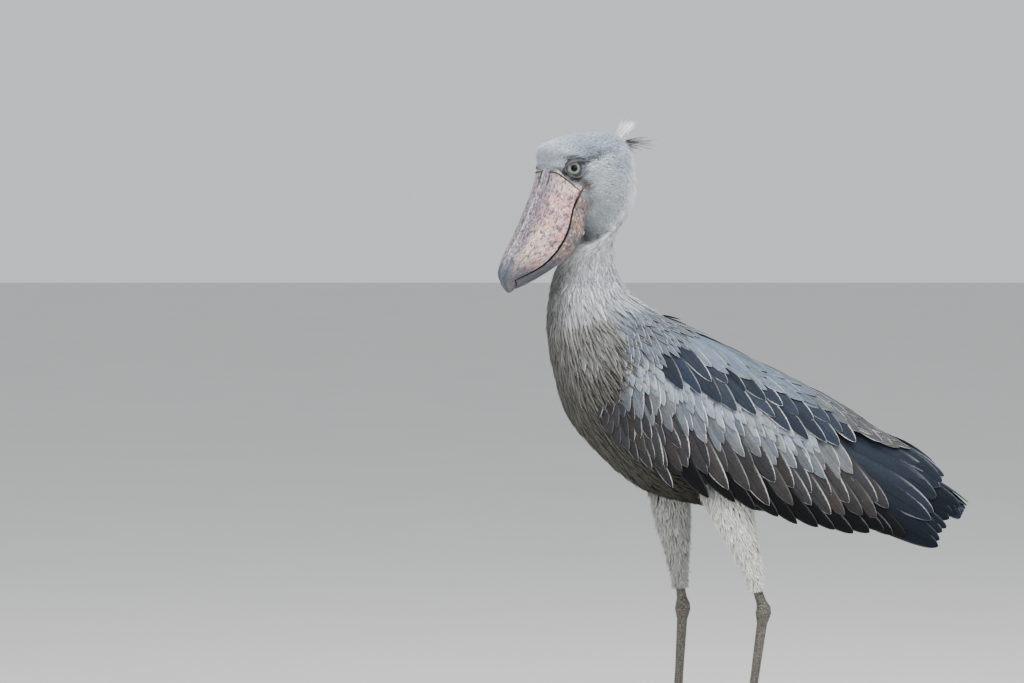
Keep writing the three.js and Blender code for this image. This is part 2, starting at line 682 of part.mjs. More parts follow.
// Trunk, neck and head
const trunkGrown = trunkSolid(NECK_TO, TRUNK_TO, TRUNK_SIDES, GAP);
const torsoCore = trunkSolid(NECK_TO, TRUNK_TO, TRUNK_SIDES);
const neck = trunkSolid(HEAD_TO, NECK_TO, TRUNK_SIDES);
const headCore = trunkSolid(HEAD_FROM, HEAD_TO, HEAD_SIDES);

const eyeCentres = [-1, 1].map((side) => (
  turnHead(new THREE.Vector3(EYE_AT[0], side * EYE_SIDE, EYE_AT[1]), 1)
));
let head = joinAll(headCore, crestVanes());
[-1, 1].forEach((side, index) => {
  const brow = BROW.map(([x, z, y], k) => (
    { at: turnHead(new THREE.Vector3(x, side * y, z), 1), radius: BROW_RADII[k] }
  ));
  const lid = new THREE.TorusGeometry(LID.radius, LID.thick, 5, 12);
  const way = turnWay(new THREE.Vector3(...LID.way.map((value, j) => (j === 1 ? value * side : value))));
  lid.lookAt(way);
  const centre = eyeCentres[index].clone().addScaledVector(way.normalize(), LID.reach);
  lid.translate(...centre.toArray());
  head = head.add(limb(brow, 6)).add(weld(lid));
});
eyeCentres.forEach((centre) => {
  head = head.subtract(ball(centre, EYE_RADIUS + GAP));
});
const torso = joinAll(torsoCore, plumesOf('torso'));
add('torso', torso.subtract(wingSolid(-1, GAP)).subtract(wingSolid(1, GAP)), GREY, 0.9);
add('neck', joinAll(neck, plumesOf('neck')), GREY, 0.9);
add('head', head, GREY, 0.9);
add('eye_left', ball(eyeCentres[0], EYE_RADIUS), PALE_EYE, 0.1);
add('eye_right', ball(eyeCentres[1], EYE_RADIUS), PALE_EYE, 0.1);

// Bill
const headGrown = trunkSolid(HEAD_FROM, HEAD_TO, HEAD_SIDES, GAP);
let billUpper = billSolid(true).subtract(headGrown);
[-1, 1].forEach((side) => {
  const ends = [NOSTRIL.from, NOSTRIL.to].map((t) => (
    turnHead(billPoint(readRows(billRows, t), side * NOSTRIL.across, NOSTRIL.share, true), 1)
  ));
  billUpper = billUpper.subtract(limb(ends.map((at) => ({ at, radius: NOSTRIL.radius })), 6));
});
add('bill_upper', billUpper, HORN, 0.5);
add('bill_lower', billSolid(false).subtract(headGrown), HORN, 0.5);

// Wings
[['left', -1], ['right', 1]].forEach(([name, side]) => {
  const vanes = WING_TIERS.flatMap((tier) => wingTier(tier, side));
  add(`wing_${name}`, joinAll(wingSolid(side), vanes).subtract(trunkGrown), SLATE, 0.85);
});

// Tail
const tailCore = toSolid(loft(TAIL_CORE.map(({ at, up, half }) => (
  Array.from({ length: TAIL_SIDES }, (unused, k) => {
    const angle = (2 * Math.PI * k) / TAIL_SIDES;
    const rise = Math.cos(angle);
    return new THREE.Vector3(at[0] + up[0] * rise, half * Math.sin(angle), at[1] + up[1] * rise);
  })
))));
add('tail', joinAll(tailCore, tailVanes()).subtract(trunkGrown), SLATE, 0.85);

// Legs and feet
Object.entries(LEGS).forEach(([name, leg]) => {
  const place = (x, z, spread) => new THREE.Vector3(x, leg.side * spread, z);
  const thighEnd = leg.thigh[leg.thigh.length - 1];
  const thighStops = leg.thigh.map(([x, z, radius]) => ({ at: place(x, z, HIP_SIDE), radius }));
  const ankle = place(leg.ankle[0], leg.ankle[1], HIP_SIDE);
  const foot = place(leg.foot[0], leg.foot[1], leg.footSide);
  const knee = place(thighEnd[0], thighEnd[1], HIP_SIDE);
  const down = ankle.clone().sub(knee).normalize();
  const split = ankle.clone().addScaledVector(down, -ANKLE_RADIUS);
  const thigh = limb(thighStops, 14, null, down).subtract(trunkGrown);
  add(`thigh_${name}`, thigh.subtract(wingSolid(leg.side, 2 * GAP)), GREY, 0.95);
  add(`shank_${name}`, limb([
    { at: knee.clone().addScaledVector(down, GAP), radius: SHANK_RADIUS },
    { at: split.clone(), radius: SHANK_RADIUS + 1 },
  ]), LEG_GREY, 0.7);
  const lower = foot.clone().sub(ankle).normalize();
  add(`tarsus_${name}`, limb([
    { at: split.clone().addScaledVector(down, GAP), radius: SHANK_RADIUS + 1 },
    { at: ankle.clone().addScaledVector(down, -2), radius: ANKLE_RADIUS - 1 },
    { at: ankle.clone().addScaledVector(lower, 6), radius: ANKLE_RADIUS },
    { at: ankle.clone().addScaledVector(lower, 24), radius: TARSUS_RADIUS + 1.5 },
    { at: ankle.clone().lerp(foot, 0.5), radius: TARSUS_RADIUS },
    { at: foot.clone().setZ(PAD_HEIGHT + GAP), radius: TARSUS_RADIUS + 1.5 },
  ], 12, down, new THREE.Vector3(0, 0, -1)), LEG_GREY, 0.7);
  add(`foot_${name}`, padSolid(foot), LEG_GREY, 0.7);
  TOES.forEach((toe) => {
    const angle = THREE.MathUtils.degToRad(toe.angle) * leg.side;
    const { solid, end, along } = toeSolid(foot, toe, angle);
    add(`toe_${toe.name}_${name}`, solid, LEG_GREY, 0.7);
    add(`claw_${toe.name}_${name}`, clawSolid(end, along, toe.thick), CLAW_DARK, 0.4);
  });
});

// The origin is the middle of the model's box, on the floor.
const box = new THREE.Box3().setFromObject(model);
const middle = box.getCenter(new THREE.Vector3());
model.position.set(-middle.x, -middle.y, -box.min.z);

export default model;
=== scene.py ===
# %% [markdown]
# # A shoebill, dressed feather by feather
# The frame holds the bird as plain solids. This lesson gives it a skin, a coat of feathers, a bill
# of worn horn, eyes and scaly legs. Everything is in metres, in the frame's own axes: +Z is up, the
# bird faces -X and its left side faces -Y.

# %% Load the frame
from math import cos, pi, radians, sin

import bpy
import numpy as np
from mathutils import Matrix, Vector
from mathutils.kdtree import KDTree


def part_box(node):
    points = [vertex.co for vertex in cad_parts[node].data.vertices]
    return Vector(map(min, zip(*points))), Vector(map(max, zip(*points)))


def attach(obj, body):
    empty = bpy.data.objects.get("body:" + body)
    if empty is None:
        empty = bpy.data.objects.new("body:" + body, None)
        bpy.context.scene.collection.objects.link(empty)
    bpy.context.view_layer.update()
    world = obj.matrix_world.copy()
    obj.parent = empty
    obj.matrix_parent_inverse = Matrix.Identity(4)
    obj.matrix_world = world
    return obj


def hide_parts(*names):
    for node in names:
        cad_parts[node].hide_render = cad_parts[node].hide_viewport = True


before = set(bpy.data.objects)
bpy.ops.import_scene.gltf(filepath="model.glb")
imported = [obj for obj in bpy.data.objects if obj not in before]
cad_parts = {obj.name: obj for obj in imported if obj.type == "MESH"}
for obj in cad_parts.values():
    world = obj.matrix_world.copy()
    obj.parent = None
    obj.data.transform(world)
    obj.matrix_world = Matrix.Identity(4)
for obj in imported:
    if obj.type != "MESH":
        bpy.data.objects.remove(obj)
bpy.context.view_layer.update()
MM = 0.001

# %% [markdown]
# ## The shape that everything grows from
# A bird's body is a smooth tube from the bill's base to the tail. A few cross sections say all of it:
# the point on the back, the point on the belly, and half the breadth. They are the sections that the
# solids were drawn with, so skin and feathers land on the same surface.

# %% Sections of the trunk
# Upper point (x, z), lower point (x, z) and half the breadth, in millimetres.
TRUNK = np.array([
    (-272, 968, -214, 886, 46),   # bill base
    (-269, 1001, -201, 876, 49),  # forehead
    (-222, 1020, -191, 868, 50),  # brow
    (-165, 1024, -185, 860, 51),  # crown
    (-129, 1013, -182, 853, 50),  # hind crown
    (-109, 969, -182, 848, 48),   # nape
    (-109, 919, -186, 842, 45),   # cheek end
    (-122, 889, -198, 835, 38),   # throat
    (-139, 858, -214, 825, 34),   # upper neck
    (-145, 828, -231, 808, 36),   # middle neck
    (-139, 795, -244, 776, 42),   # low neck
    (-125, 766, -249, 738, 52),   # neck base
    (-99, 741, -249, 688, 66),    # shoulders
    (-58, 713, -239, 627, 84),    # breast
    (0, 676, -216, 556, 98),      # keel
    (66, 642, -168, 497, 102),    # flank
    (132, 604, -94, 436, 98),     # belly
    (198, 566, 0, 410, 86),       # thighs
    (248, 532, 107, 400, 66),     # vent
    (284, 504, 201, 406, 42),     # rump
    (314, 478, 264, 416, 24),     # tail root
]) * MM
# Upper point, lower point, distance of the upper edge from the middle and swell of the side.
WING = np.array([
    (-134, 730, -184, 574, 36, 80),   # shoulder
    (-66, 717, -134, 510, 22, 108),   # wrist
    (25, 675, -41, 459, 10, 122),     # forearm
    (124, 624, 74, 416, 4, 120),      # elbow
    (214, 577, 182, 383, 5, 102),     # tertials
    (284, 528, 272, 371, 28, 82),     # hind wing
    (338, 498, 338, 361, 42, 68),     # primaries
    (404, 458, 404, 340, 46, 56),     # wing tip
]) * MM
WING_ARC = radians(120)
HEAD_TURN = radians(30)
HEAD_PIVOT_X = -165 * MM
# The sections of the neck over which the turn of the head fades out.
TURN_FADE = (6, 11)
EYE_AT = np.array((-240, 36, 964.5)) * MM
FOOT_AT = np.array((74, -58)) * MM


def read_rows(rows, t):
    """Smooth reading of a table of sections at fractional places."""
    t = np.asarray(t, float)
    last = len(rows) - 1
    padded = np.vstack((2 * rows[0] - rows[1], rows, 2 * rows[-1] - rows[-2]))
    whole = np.clip(np.floor(t).astype(int), 0, last - 1)
    part = (t - whole)[..., None]
    before, start, end, after = (padded[whole + k] for k in range(4))
    square = part * part
    cube = square * part
    return ((2 * cube - 3 * square + 1) * start + (cube - 2 * square + part) * (end - before) / 2
            + (3 * square - 2 * cube) * end + (cube - square) * (after - start) / 2)


def smoothstep(low, high, value):
    """0 below low, 1 above high and a soft rise between them."""
    share = np.clip((np.asarray(value, float) - low) / (high - low), 0, 1)
    return share * share * (3 - 2 * share)


def turn(points, weight=1.0):
    """Points with the head straight, turned with the head by a weight from 0 to 1."""
    angle = HEAD_TURN * np.asarray(weight)
    dx = points[..., 0] - HEAD_PIVOT_X
    x = HEAD_PIVOT_X + dx * np.cos(angle) - points[..., 1] * np.sin(angle)
    y = dx * np.sin(angle) + points[..., 1] * np.cos(angle)
    return np.stack((x, y, points[..., 2]), -1)


# The solids' origin is the middle of their box, so the drawing is moved by a foot's known place.
foot_low, foot_high = (np.array(corner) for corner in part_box("foot_left"))
SHIFT = np.append((foot_low + foot_high)[:2] / 2 - FOOT_AT, 0)
print("shift", SHIFT.round(5))


def unit(vectors):
    """The same directions with a length of one."""
    return vectors / np.maximum(np.linalg.norm(vectors, axis=-1, keepdims=True), 1e-9)


# %% [markdown]
# ## Surfaces as functions
# Each surface is a function of two numbers, and its slope in each gives the way a feather lies, the
# way across it and the way out. Soft swellings, such as the brow over the eye and the hollow in front
# of it, are added to the same function, so skin and feathers agree.

# %% Trunk and wing surfaces
# Swellings of the head: centre (x, y, z) with the head straight, reach and height, in millimetres.
SWELLINGS = [
    ((-244, 46, 984), (30, 18, 7), 8.0),     # brow ridge
    ((-258, 34, 958), (16, 16, 12), 3.5),    # lores
    ((-264, 32, 994), (20, 18, 20), 6.0),    # corners of the forehead
    ((-190, 46, 918), (38, 22, 32), 4.5),    # cheek
    ((-222, 48, 967), (22, 16, 10), -3.0),   # hollow round the eye
    ((-268, 0, 996), (12, 30, 12), 1.0),     # forehead
    ((-206, 24, 852), (24, 34, 20), 12.0),   # throat behind the bill
    ((-109, 0, 945), (16, 40, 42), -5.0),    # nape
    ((-185, 0, 1022), (52, 40, 16), -3.5),   # crown
    ((-134, 34, 890), (12, 22, 8), -3.5),    # crease under the cheek
    ((-160, 38, 872), (14, 22, 8), -4.5),
    ((-182, 38, 858), (12, 22, 7), -3.5),
]


def trunk(t, angle, grow=0.0):
    """The trunk's surface: t counts sections from the bill, the angle is 0 on the back."""
    rows = read_rows(TRUNK, t)
    top, low = rows[..., 0:2], rows[..., 2:4]
    middle, arm = (top + low) / 2, (top - low) / 2
    tall = np.linalg.norm(arm, axis=-1, keepdims=True)
    flat = middle + arm / tall * (tall + grow) * np.cos(angle)[..., None]
    side = (rows[..., 4] + grow) * np.sin(angle)
    points = np.stack((flat[..., 0], side, flat[..., 1]), -1)
    outward = unit(points - np.stack((middle[..., 0], 0 * side, middle[..., 1]), -1))
    for centre, reach, height in SWELLINGS:
        for hand in (-1, 1) if centre[1] else (1,):
            off = (points / MM - np.array(centre) * (1, hand, 1)) / np.array(reach)
            points = points + outward * (height * MM * np.exp(-(off ** 2).sum(-1)))[..., None]
    return turn(points, 1 - smoothstep(*TURN_FADE, t)) + SHIFT


def wing(u, v, side):
    """A wing's outer surface: u from shoulder to tip, v from the back to the lower edge."""
    rows = read_rows(WING, u)
    angle = v * WING_ARC
    fall = (1 - np.cos(angle)) / (1 - cos(WING_ARC))
    reach = rows[..., 4] + (rows[..., 5] - rows[..., 4]) * np.sin(angle)
    x = rows[..., 0] + (rows[..., 2] - rows[..., 0]) * fall
    z = rows[..., 1] + (rows[..., 3] - rows[..., 1]) * fall
    return np.stack((x, side * reach, z), -1) + SHIFT


def lie(surface, u, v, du, dv, sign):
    """Place, across and outward direction on a surface for a path that runs (du, dv)."""
    step = 1e-3
    at = surface(u, v)
    by_u = (surface(u + step, v) - surface(u - step, v)) / (2 * step)
    by_v = (surface(u, v + step) - surface(u, v - step)) / (2 * step)
    along = unit(by_u * du[..., None] + by_v * dv[..., None])
    up = unit(np.cross(by_u, by_v)) * sign
    return at, np.cross(up, along), up


def wing_on(side):
    """The surface of one wing, as a function of u and v alone."""
    def surface(u, v):
        return wing(u, v, side)
    return surface


def outward_sign(surface, u, v, axis):
    """1 or -1, whichever makes the way out point along an axis at one place."""
    up = lie(surface, *np.array([[u], [v], [1.0], [0.0]]), 1)[2]
    return 1 if up[0, axis] > 0 else -1


TRUNK_SIGN = outward_sign(trunk, 14.0, 0.0, 2)
WING_SIGN = outward_sign(wing_on(1), 3.0, 0.7, 1)
print("signs", TRUNK_SIGN, WING_SIGN)

# %% [markdown]
# ## One blade, many feathers
# A feather is a thin closed blade: a shaft, two webs that thin towards the edge, and a tip. Its
# outline is the same few numbers for a covert, a plume or a tuft. Many thousands of them as separate
# objects would be slow, so each group is written as one joined mesh, straight into Blender's arrays.

# %% Mesh from arrays
# Sections through a blade as (across, up): a plain three-sided tuft, and a vane with a raised shaft.
SECTION_TUFT = np.array([(-1, 0), (0, 1), (1, 0)], float)
SECTION_VANE = np.array([(-1, 0.4), (-0.55, 0.7), (0, 1.3), (0.55, 0.7), (1, 0.4),
                         (1, -0.4), (0.55, -0.5), (0, -0.6), (-0.55, -0.5), (-1, -0.4)], float)
# The side of the patch that one feather covers on the bake map.
PATCH = 0.003


def paint(mesh, colours):
    """Gives each point of a mesh its tint."""
    full = np.ones((len(colours), 4), np.float32)
    full[:, :3] = colours
    mesh.attributes.new("tint", "FLOAT_COLOR", "POINT").data.foreach_set("color", full.reshape(-1))


def blades(name, stations, half, thick, section, tint, trim, bake, camber):
    """One mesh of closed blades. stations holds place, across and up for each blade and station, and
    camber is how far the webs hang below the shaft, as a share of half the breadth."""
    at, across, up = stations
    count, steps = at.shape[:2]
    ring = len(section)
    reach = section[:, 0]
    height = section[:, 1]
    width = half[:, :, None, None] * reach[None, None, :, None]
    sag = np.reshape(camber, (-1, 1, 1, 1)) * half[:, :, None, None] * (reach ** 2)[None, None, :, None]
    rise = thick[:, :, None, None] * height[None, None, :, None] - sag
    points = at[:, :, None] + across[:, :, None] * width + up[:, :, None] * rise
    grid = np.arange(count * steps * ring).reshape(count, steps, ring)
    following = np.roll(grid, -1, axis=2)
    sides = np.stack((grid[:, :-1], grid[:, 1:], following[:, 1:], following[:, :-1]), -1).reshape(-1, 4)
    ends = np.concatenate((grid[:, 0], grid[:, -1, ::-1]))
    mesh = bpy.data.meshes.new(name)
    mesh.vertices.add(points.size // 3)
    mesh.vertices.foreach_set("co", points.reshape(-1).astype(np.float32))
    loops = np.concatenate((sides.reshape(-1), ends.reshape(-1)))
    totals = np.concatenate((np.full(len(sides), 4), np.full(len(ends), ring)))
    mesh.loops.add(len(loops))
    mesh.loops.foreach_set("vertex_index", loops.astype(np.int32))
    mesh.polygons.add(len(totals))
    starts = np.concatenate(([0], np.cumsum(totals)[:-1]))
    mesh.polygons.foreach_set("loop_start", starts.astype(np.int32))
    mesh.polygons.foreach_set("use_smooth", np.ones(len(totals), bool))
    mesh.update(calc_edges=True)
    share = np.linspace(0, 1, steps)
    vane = np.stack(np.broadcast_arrays(
        (reach / 2 + 0.5)[None, None, :], share[None, :, None], np.zeros((count, 1, 1))), -1)
    vane_uv = vane.reshape(-1, 3)[:, :2]
    bake_uv = np.repeat(bake, steps * ring, axis=0) + PATCH * (vane_uv - 0.5)
    for title, values in (("vane", vane_uv), ("OFBake", bake_uv)):
        layer = mesh.uv_layers.new(name=title)
        layer.data.foreach_set("uv", values[loops].reshape(-1).astype(np.float32))
    paint(mesh, np.repeat(tint, steps * ring, axis=0))
    strength = np.repeat(trim, steps * ring).astype(np.float32)
    mesh.attributes.new("trim", "FLOAT", "POINT").data.foreach_set("value", strength)
    piece = bpy.data.objects.new(name, mesh)
    bpy.context.scene.collection.objects.link(piece)
    return piece


FULL_BREADTH_AT = 0.45


def blade_breadth(share, point):
    """Breadth of a blade along its length: round tip at point 0, drawn out at point 1."""
    share = np.asarray(share, float)
    towards = np.clip((share - FULL_BREADTH_AT) / (1 - FULL_BREADTH_AT), 0, 1)
    root = 0.5 + 1.1 * np.clip(share, 0, FULL_BREADTH_AT)
    return np.maximum(root * (1 - towards ** (3.2 - 2.0 * point)) ** (0.5 + 0.5 * point), 0.03)


def steps_of(count):
    """Shares along a blade from 0 to 1, closer together near the tip."""
    return np.sin(np.linspace(0, pi / 2, count)) ** 0.92


# %% [markdown]
# ## Colours of the plumage
# The coat runs from pale blue-grey on the head to dark slate on the wings. A few named colours and
# smooth blends between them give each feather its own tint, and the skin beneath gets the same.

# %% Named colours
def linear(red, green, blue):
    """A colour as the eye counts it, from 0 to 255, in the light's own measure."""
    value = np.array((red, green, blue)) / 255
    return np.where(value <= 0.04045, value / 12.92, ((value + 0.055) / 1.055) ** 2.4)


CROWN_GREY = linear(168, 180, 194)
FOREHEAD_GREY = linear(200, 209, 219)
NAPE_GREY = linear(236, 239, 243)
CHEEK_GREY = linear(176, 183, 190)
NECK_GREY = linear(184, 188, 192)
FRONT_BROWN = linear(112, 112, 110)
PLUME_BROWN = linear(118, 117, 114)
BREAST_BROWN = linear(86, 85, 79)
BELLY_BROWN = linear(54, 53, 46)
MANTLE_GREY = linear(130, 140, 152)
DOWN_WHITE = linear(238, 238, 232)
# Dark grey of the lores and round the eye, also used as a painted shadow under the brow ridge.
FACE_DARK_AND_BROW_SHADE = linear(38, 37, 40)
MARK_PALE = linear(222, 225, 228)
MOUTH_BROWN = linear(112, 92, 84)
# Painted shade for the creases under the cheek and below the corner of the mouth.
CREASE_SHADE_GREY = linear(104, 109, 116)
COVERT_BLUE = linear(146, 156, 167)
COVERT_BROWN = linear(52, 51, 53)
# Slate of the scapulars, darkened with painted shade where they hang below the back.
SCAPULAR_SHADED_SLATE = linear(42, 49, 60)
# Blue-grey of the back, lightened with painted light and sheen from above.
BACK_BLUE_LIT = linear(112, 126, 142)
BACK_BROWN = linear(76, 76, 78)
FLIGHT_SLATE = linear(21, 27, 35)
QUILL_DARK = linear(12, 13, 15)
# Marks show only this far from the middle of the head, in millimetres, from faint to full.
MARK_SIDES = (12, 24)
# Soft marks and painted shade on the straight head: place (x, z), reach (x, z) in millimetres, strength.
# The first four marks darken the lores and the fifth the skin round the eye; the six along and above the
# brow are a painted shadow under the brow ridge.
DARK_MARKS_AND_BROW_SHADE = [
    ((-268, 957), (12, 7), 0.85), ((-256, 953), (13, 9), 1.0), ((-243, 946), (12, 9), 1.0),
    ((-231, 939), (10, 9), 0.85), ((-240, 964), (18, 15), 1.0), ((-246, 979), (18, 5), 0.85),
    ((-224, 975), (11, 5), 0.95), ((-209, 982), (12, 5), 0.85), ((-194, 988), (12, 5), 0.7),
    ((-178, 993), (14, 6), 0.45), ((-208, 992), (26, 10), 0.35),
]
# Painted shade along the creases under the cheek, which are also dented in the swellings, and down the
# wrinkle below the corner of the mouth.
CREASE_SHADE_MARKS = [
    ((-134, 892), (12, 5), 0.5), ((-150, 880), (12, 5), 0.6), ((-166, 868), (12, 5), 0.7),
    ((-182, 857), (12, 5), 0.6), ((-222, 915), (7, 26), 0.5),
]
MOUTH_MARKS = [((-222, 932), (11, 13), 0.8), ((-213, 912), (7, 16), 0.4)]
PALE_MARKS = [((-214, 968), (13, 4), 0.85), ((-198, 974), (14, 5), 0.75), ((-180, 981), (15, 7), 0.6)]


def blend(first, second, share):
    """Colours between two, one for each share."""
    return first + (second - first) * np.asarray(share)[..., None]


def marks(points, spots):
    """How strongly soft marks, painted shade among them, show at points of the turned head, from 0 to 1."""
    dx, dy = points[..., 0] - SHIFT[0] - HEAD_PIVOT_X, points[..., 1] - SHIFT[1]
    x = (HEAD_PIVOT_X + dx * cos(HEAD_TURN) + dy * sin(HEAD_TURN)) / MM
    z = points[..., 2] / MM
    y = np.abs(dy * cos(HEAD_TURN) - dx * sin(HEAD_TURN)) / MM
    strength = np.zeros(x.shape)
    for (mark_x, mark_z), (reach_x, reach_z), height in spots:
        away = ((x - mark_x) / reach_x) ** 2 + ((z - mark_z) / reach_z) ** 2
        strength = np.maximum(strength, height * np.exp(-away ** 1.5))
    return strength * smoothstep(*MARK_SIDES, y)


def from_back(angle):
    """The angle away from the back, 0 on the back and pi beneath."""
    return np.abs((np.asarray(angle) + pi) % (2 * pi) - pi)


def trunk_tint(t, angle):
    """The coat's colour on the trunk, with painted shade in the creases and under the brow: t from bill to
    tail, angle 0 at the back and pi beneath.
    """
    away = from_back(angle)
    head = blend(FOREHEAD_GREY, CROWN_GREY, smoothstep(0.8, 2, t))
    head = blend(head, NAPE_GREY, smoothstep(3, 5.5, t))
    head = blend(head, CHEEK_GREY, smoothstep(1.0, 1.7, away) * (1 - smoothstep(4, 6, t)))
    at = trunk(t, angle)
    head = blend(head, MARK_PALE, marks(at, PALE_MARKS))
    # Dark lores and eye surround, and painted shade under the brow.
    head = blend(head, FACE_DARK_AND_BROW_SHADE, marks(at, DARK_MARKS_AND_BROW_SHADE))
    head = blend(head, MOUTH_BROWN, marks(at, MOUTH_MARKS))
    # Painted shade in the creases.
    head = blend(head, CREASE_SHADE_GREY, marks(at, CREASE_SHADE_MARKS))
    neck = blend(NECK_GREY, FRONT_BROWN, smoothstep(1.6, 2.7, away) * smoothstep(7.6, 9.6, t))
    body = blend(MANTLE_GREY, BREAST_BROWN, smoothstep(0.7, 1.3, away))
    rear = blend(MANTLE_GREY, BELLY_BROWN, smoothstep(1.0, 1.8, away))
    colour = blend(head, neck, smoothstep(6.5, 9, t))
    colour = blend(colour, body, smoothstep(10.8, 13.6, t))
    return blend(colour, rear, smoothstep(14.5, 16.5, t))


def spread(amount, count, rng):
    """Factors near 1, one for each feather."""
    return 1 + amount * rng.standard_normal(count)


# %% [markdown]
# ## Feather material
# Barbs run out from the shaft like the veins of a leaf. The "vane" map tells the shader how far
# across and along a feather it is, so fine stripes, a shaft line and a pale worn edge all follow each
# feather. The markings are a node group, since every feathered piece uses them with its own values.

# %% Node helpers
# Places of the sockets for colours on a Mix node.
MIX_INPUTS = (0, 6, 7)
MIX_RESULT = 2


def node(tree, kind, **values):
    """A new node of one kind, with its settings."""
    made = tree.nodes.new(kind)
    for key, value in values.items():
        setattr(made, key, value)
    return made


def calc(tree, operation, first, second=None, third=None):
    """The result of a Math node on numbers or other nodes' outputs."""
    made = node(tree, "ShaderNodeMath", operation=operation)
    for socket, value in zip(made.inputs, (first, second, third)):
        if value is None:
            continue
        if isinstance(value, (int, float)):
            socket.default_value = value
        else:
            tree.links.new(value, socket)
    return made.outputs[0]


def mix(tree, factor, first, second, how="MIX"):
    """Two colours mixed by a factor from 0 to 1."""
    made = node(tree, "ShaderNodeMix", data_type="RGBA", blend_type=how)
    for socket, value in zip((made.inputs[k] for k in MIX_INPUTS), (factor, first, second)):
        if isinstance(value, (int, float)):
            socket.default_value = value
        elif isinstance(value, (tuple, list, np.ndarray)):
            socket.default_value = (*value[:3], 1)
        else:
            tree.links.new(value, socket)
    return made.outputs[MIX_RESULT]


def ramp(tree, value, low, high):
    """0 below low, 1 above high and soft between, or the other way round where low is the larger."""
    made = node(tree, "ShaderNodeMapRange", interpolation_type="SMOOTHSTEP")
    tree.links.new(value, made.inputs[0])
    made.inputs[1].default_value = low
    made.inputs[2].default_value = high
    return made.outputs[0]


def noise(tree, vector, scale, detail=2.0, roughness=0.5):
    """Soft noise from 0 to 1. A larger scale has smaller clouds."""
    made = node(tree, "ShaderNodeTexNoise")
    made.inputs["Scale"].default_value = scale
    made.inputs["Detail"].default_value = detail
    made.inputs["Roughness"].default_value = roughness
    tree.links.new(vector, made.inputs["Vector"])
    return made.outputs["Fac"]


# %% Material helpers
def new_material(name, roughness):
    """A new material, its node tree and its shader."""
    material = bpy.data.materials.new(name)
    material.use_nodes = True
    tree = material.node_tree
    shader = tree.nodes["Principled BSDF"]
    shader.inputs["Roughness"].default_value = roughness
    return material, tree, shader


def object_place(tree):
    """The place on the piece itself, in metres."""
    return node(tree, "ShaderNodeTexCoord").outputs["Object"]


def add_bump(tree, shader, height, distance, strength=1.0):
    """Lets the light see a height from 0 to 1, as deep as distance."""
    relief = node(tree, "ShaderNodeBump")
    relief.inputs["Strength"].default_value = strength
    relief.inputs["Distance"].default_value = distance
    tree.links.new(height, relief.inputs["Height"])
    tree.links.new(relief.outputs[0], shader.inputs["Normal"])


def cloudy_material(name, roughness, first, second, *grain):
    """Two colours clouded into each other. grain is the noise's scale, detail and roughness."""
    material, tree, shader = new_material(name, roughness)
    cloud = noise(tree, object_place(tree), *grain)
    tree.links.new(mix(tree, cloud, first, second), shader.inputs["Base Color"])
    return material


# %% The feather markings group
def feather_group():
    """Markings of one feather: stripes of barbs, a shaft line and a worn pale rim."""
    tree = bpy.data.node_groups.new("feather_markings", "ShaderNodeTree")
    face = tree.interface
    for title, kind in (("Vane", "NodeSocketVector"), ("Place", "NodeSocketVector"),
                        ("Tint", "NodeSocketColor"), ("Pale", "NodeSocketColor"),
                        ("Trim", "NodeSocketFloat"), ("Barbs", "NodeSocketFloat")):
        face.new_socket(title, in_out="INPUT", socket_type=kind)
    for title, kind in (("Colour", "NodeSocketColor"), ("Height", "NodeSocketFloat")):
        face.new_socket(title, in_out="OUTPUT", socket_type=kind)
    given = node(tree, "NodeGroupInput")
    result = node(tree, "NodeGroupOutput")
    parts = node(tree, "ShaderNodeSeparateXYZ")
    tree.links.new(given.outputs["Vane"], parts.inputs[0])
    aside = calc(tree, "ABSOLUTE", calc(tree, "MULTIPLY_ADD", parts.outputs[0], 2.0, -1.0))
    along = parts.outputs[1]
    # A ragged pale rim along both webs and at the tip.
    wear = noise(tree, given.outputs["Place"], 260, 3)
    ragged = calc(tree, "MULTIPLY_ADD", wear, 0.26, -0.13)
    edge = ramp(tree, calc(tree, "ADD", aside, ragged), 0.78, 0.93)
    edge = calc(tree, "MULTIPLY", edge, ramp(tree, along, 0.3, 0.75))
    tip = ramp(tree, calc(tree, "ADD", along, calc(tree, "MULTIPLY", ragged, 0.25)), 0.93, 0.985)
    rim = calc(tree, "MAXIMUM", edge, tip)
    rim = calc(tree, "MULTIPLY", rim, given.outputs["Trim"])
    # Barbs slant away from the shaft, over soft clouds and fine mottling.
    slant = calc(tree, "SUBTRACT", along, calc(tree, "MULTIPLY", aside, 0.22))
    turns = calc(tree, "MULTIPLY", slant, given.outputs["Barbs"])
    barb = calc(tree, "MULTIPLY_ADD", calc(tree, "SINE", turns), 0.5, 0.5)
    cloud = noise(tree, given.outputs["Place"], 46, 3)
    mottle = noise(tree, given.outputs["Place"], 210, 4, 0.7)
    shade = calc(tree, "ADD", calc(tree, "MULTIPLY", barb, 0.22), calc(tree, "MULTIPLY", cloud, 0.5))
    shade = calc(tree, "ADD", calc(tree, "MULTIPLY", mottle, 0.9), calc(tree, "ADD", shade, 0.17))
    grey = node(tree, "ShaderNodeCombineColor")
    for socket in grey.inputs[:3]:
        tree.links.new(shade, socket)
    base = mix(tree, 1.0, given.outputs["Tint"], grey.outputs[0], "MULTIPLY")
    # The shaft is a darker line in the middle.
    shaft = calc(tree, "SUBTRACT", 1.0, ramp(tree, aside, 0.0, 0.09))
    dark = mix(tree, 1.0, base, (0.45, 0.45, 0.47), "MULTIPLY")
    lined = mix(tree, calc(tree, "MULTIPLY", shaft, 0.75), base, dark)
    tree.links.new(mix(tree, rim, lined, given.outputs["Pale"]), result.inputs["Colour"])
    height = calc(tree, "ADD", calc(tree, "MULTIPLY", barb, 0.5), calc(tree, "MULTIPLY", shaft, 1.0))
    tree.links.new(height, result.inputs["Height"])
    return tree


FEATHER_GROUP = feather_group()


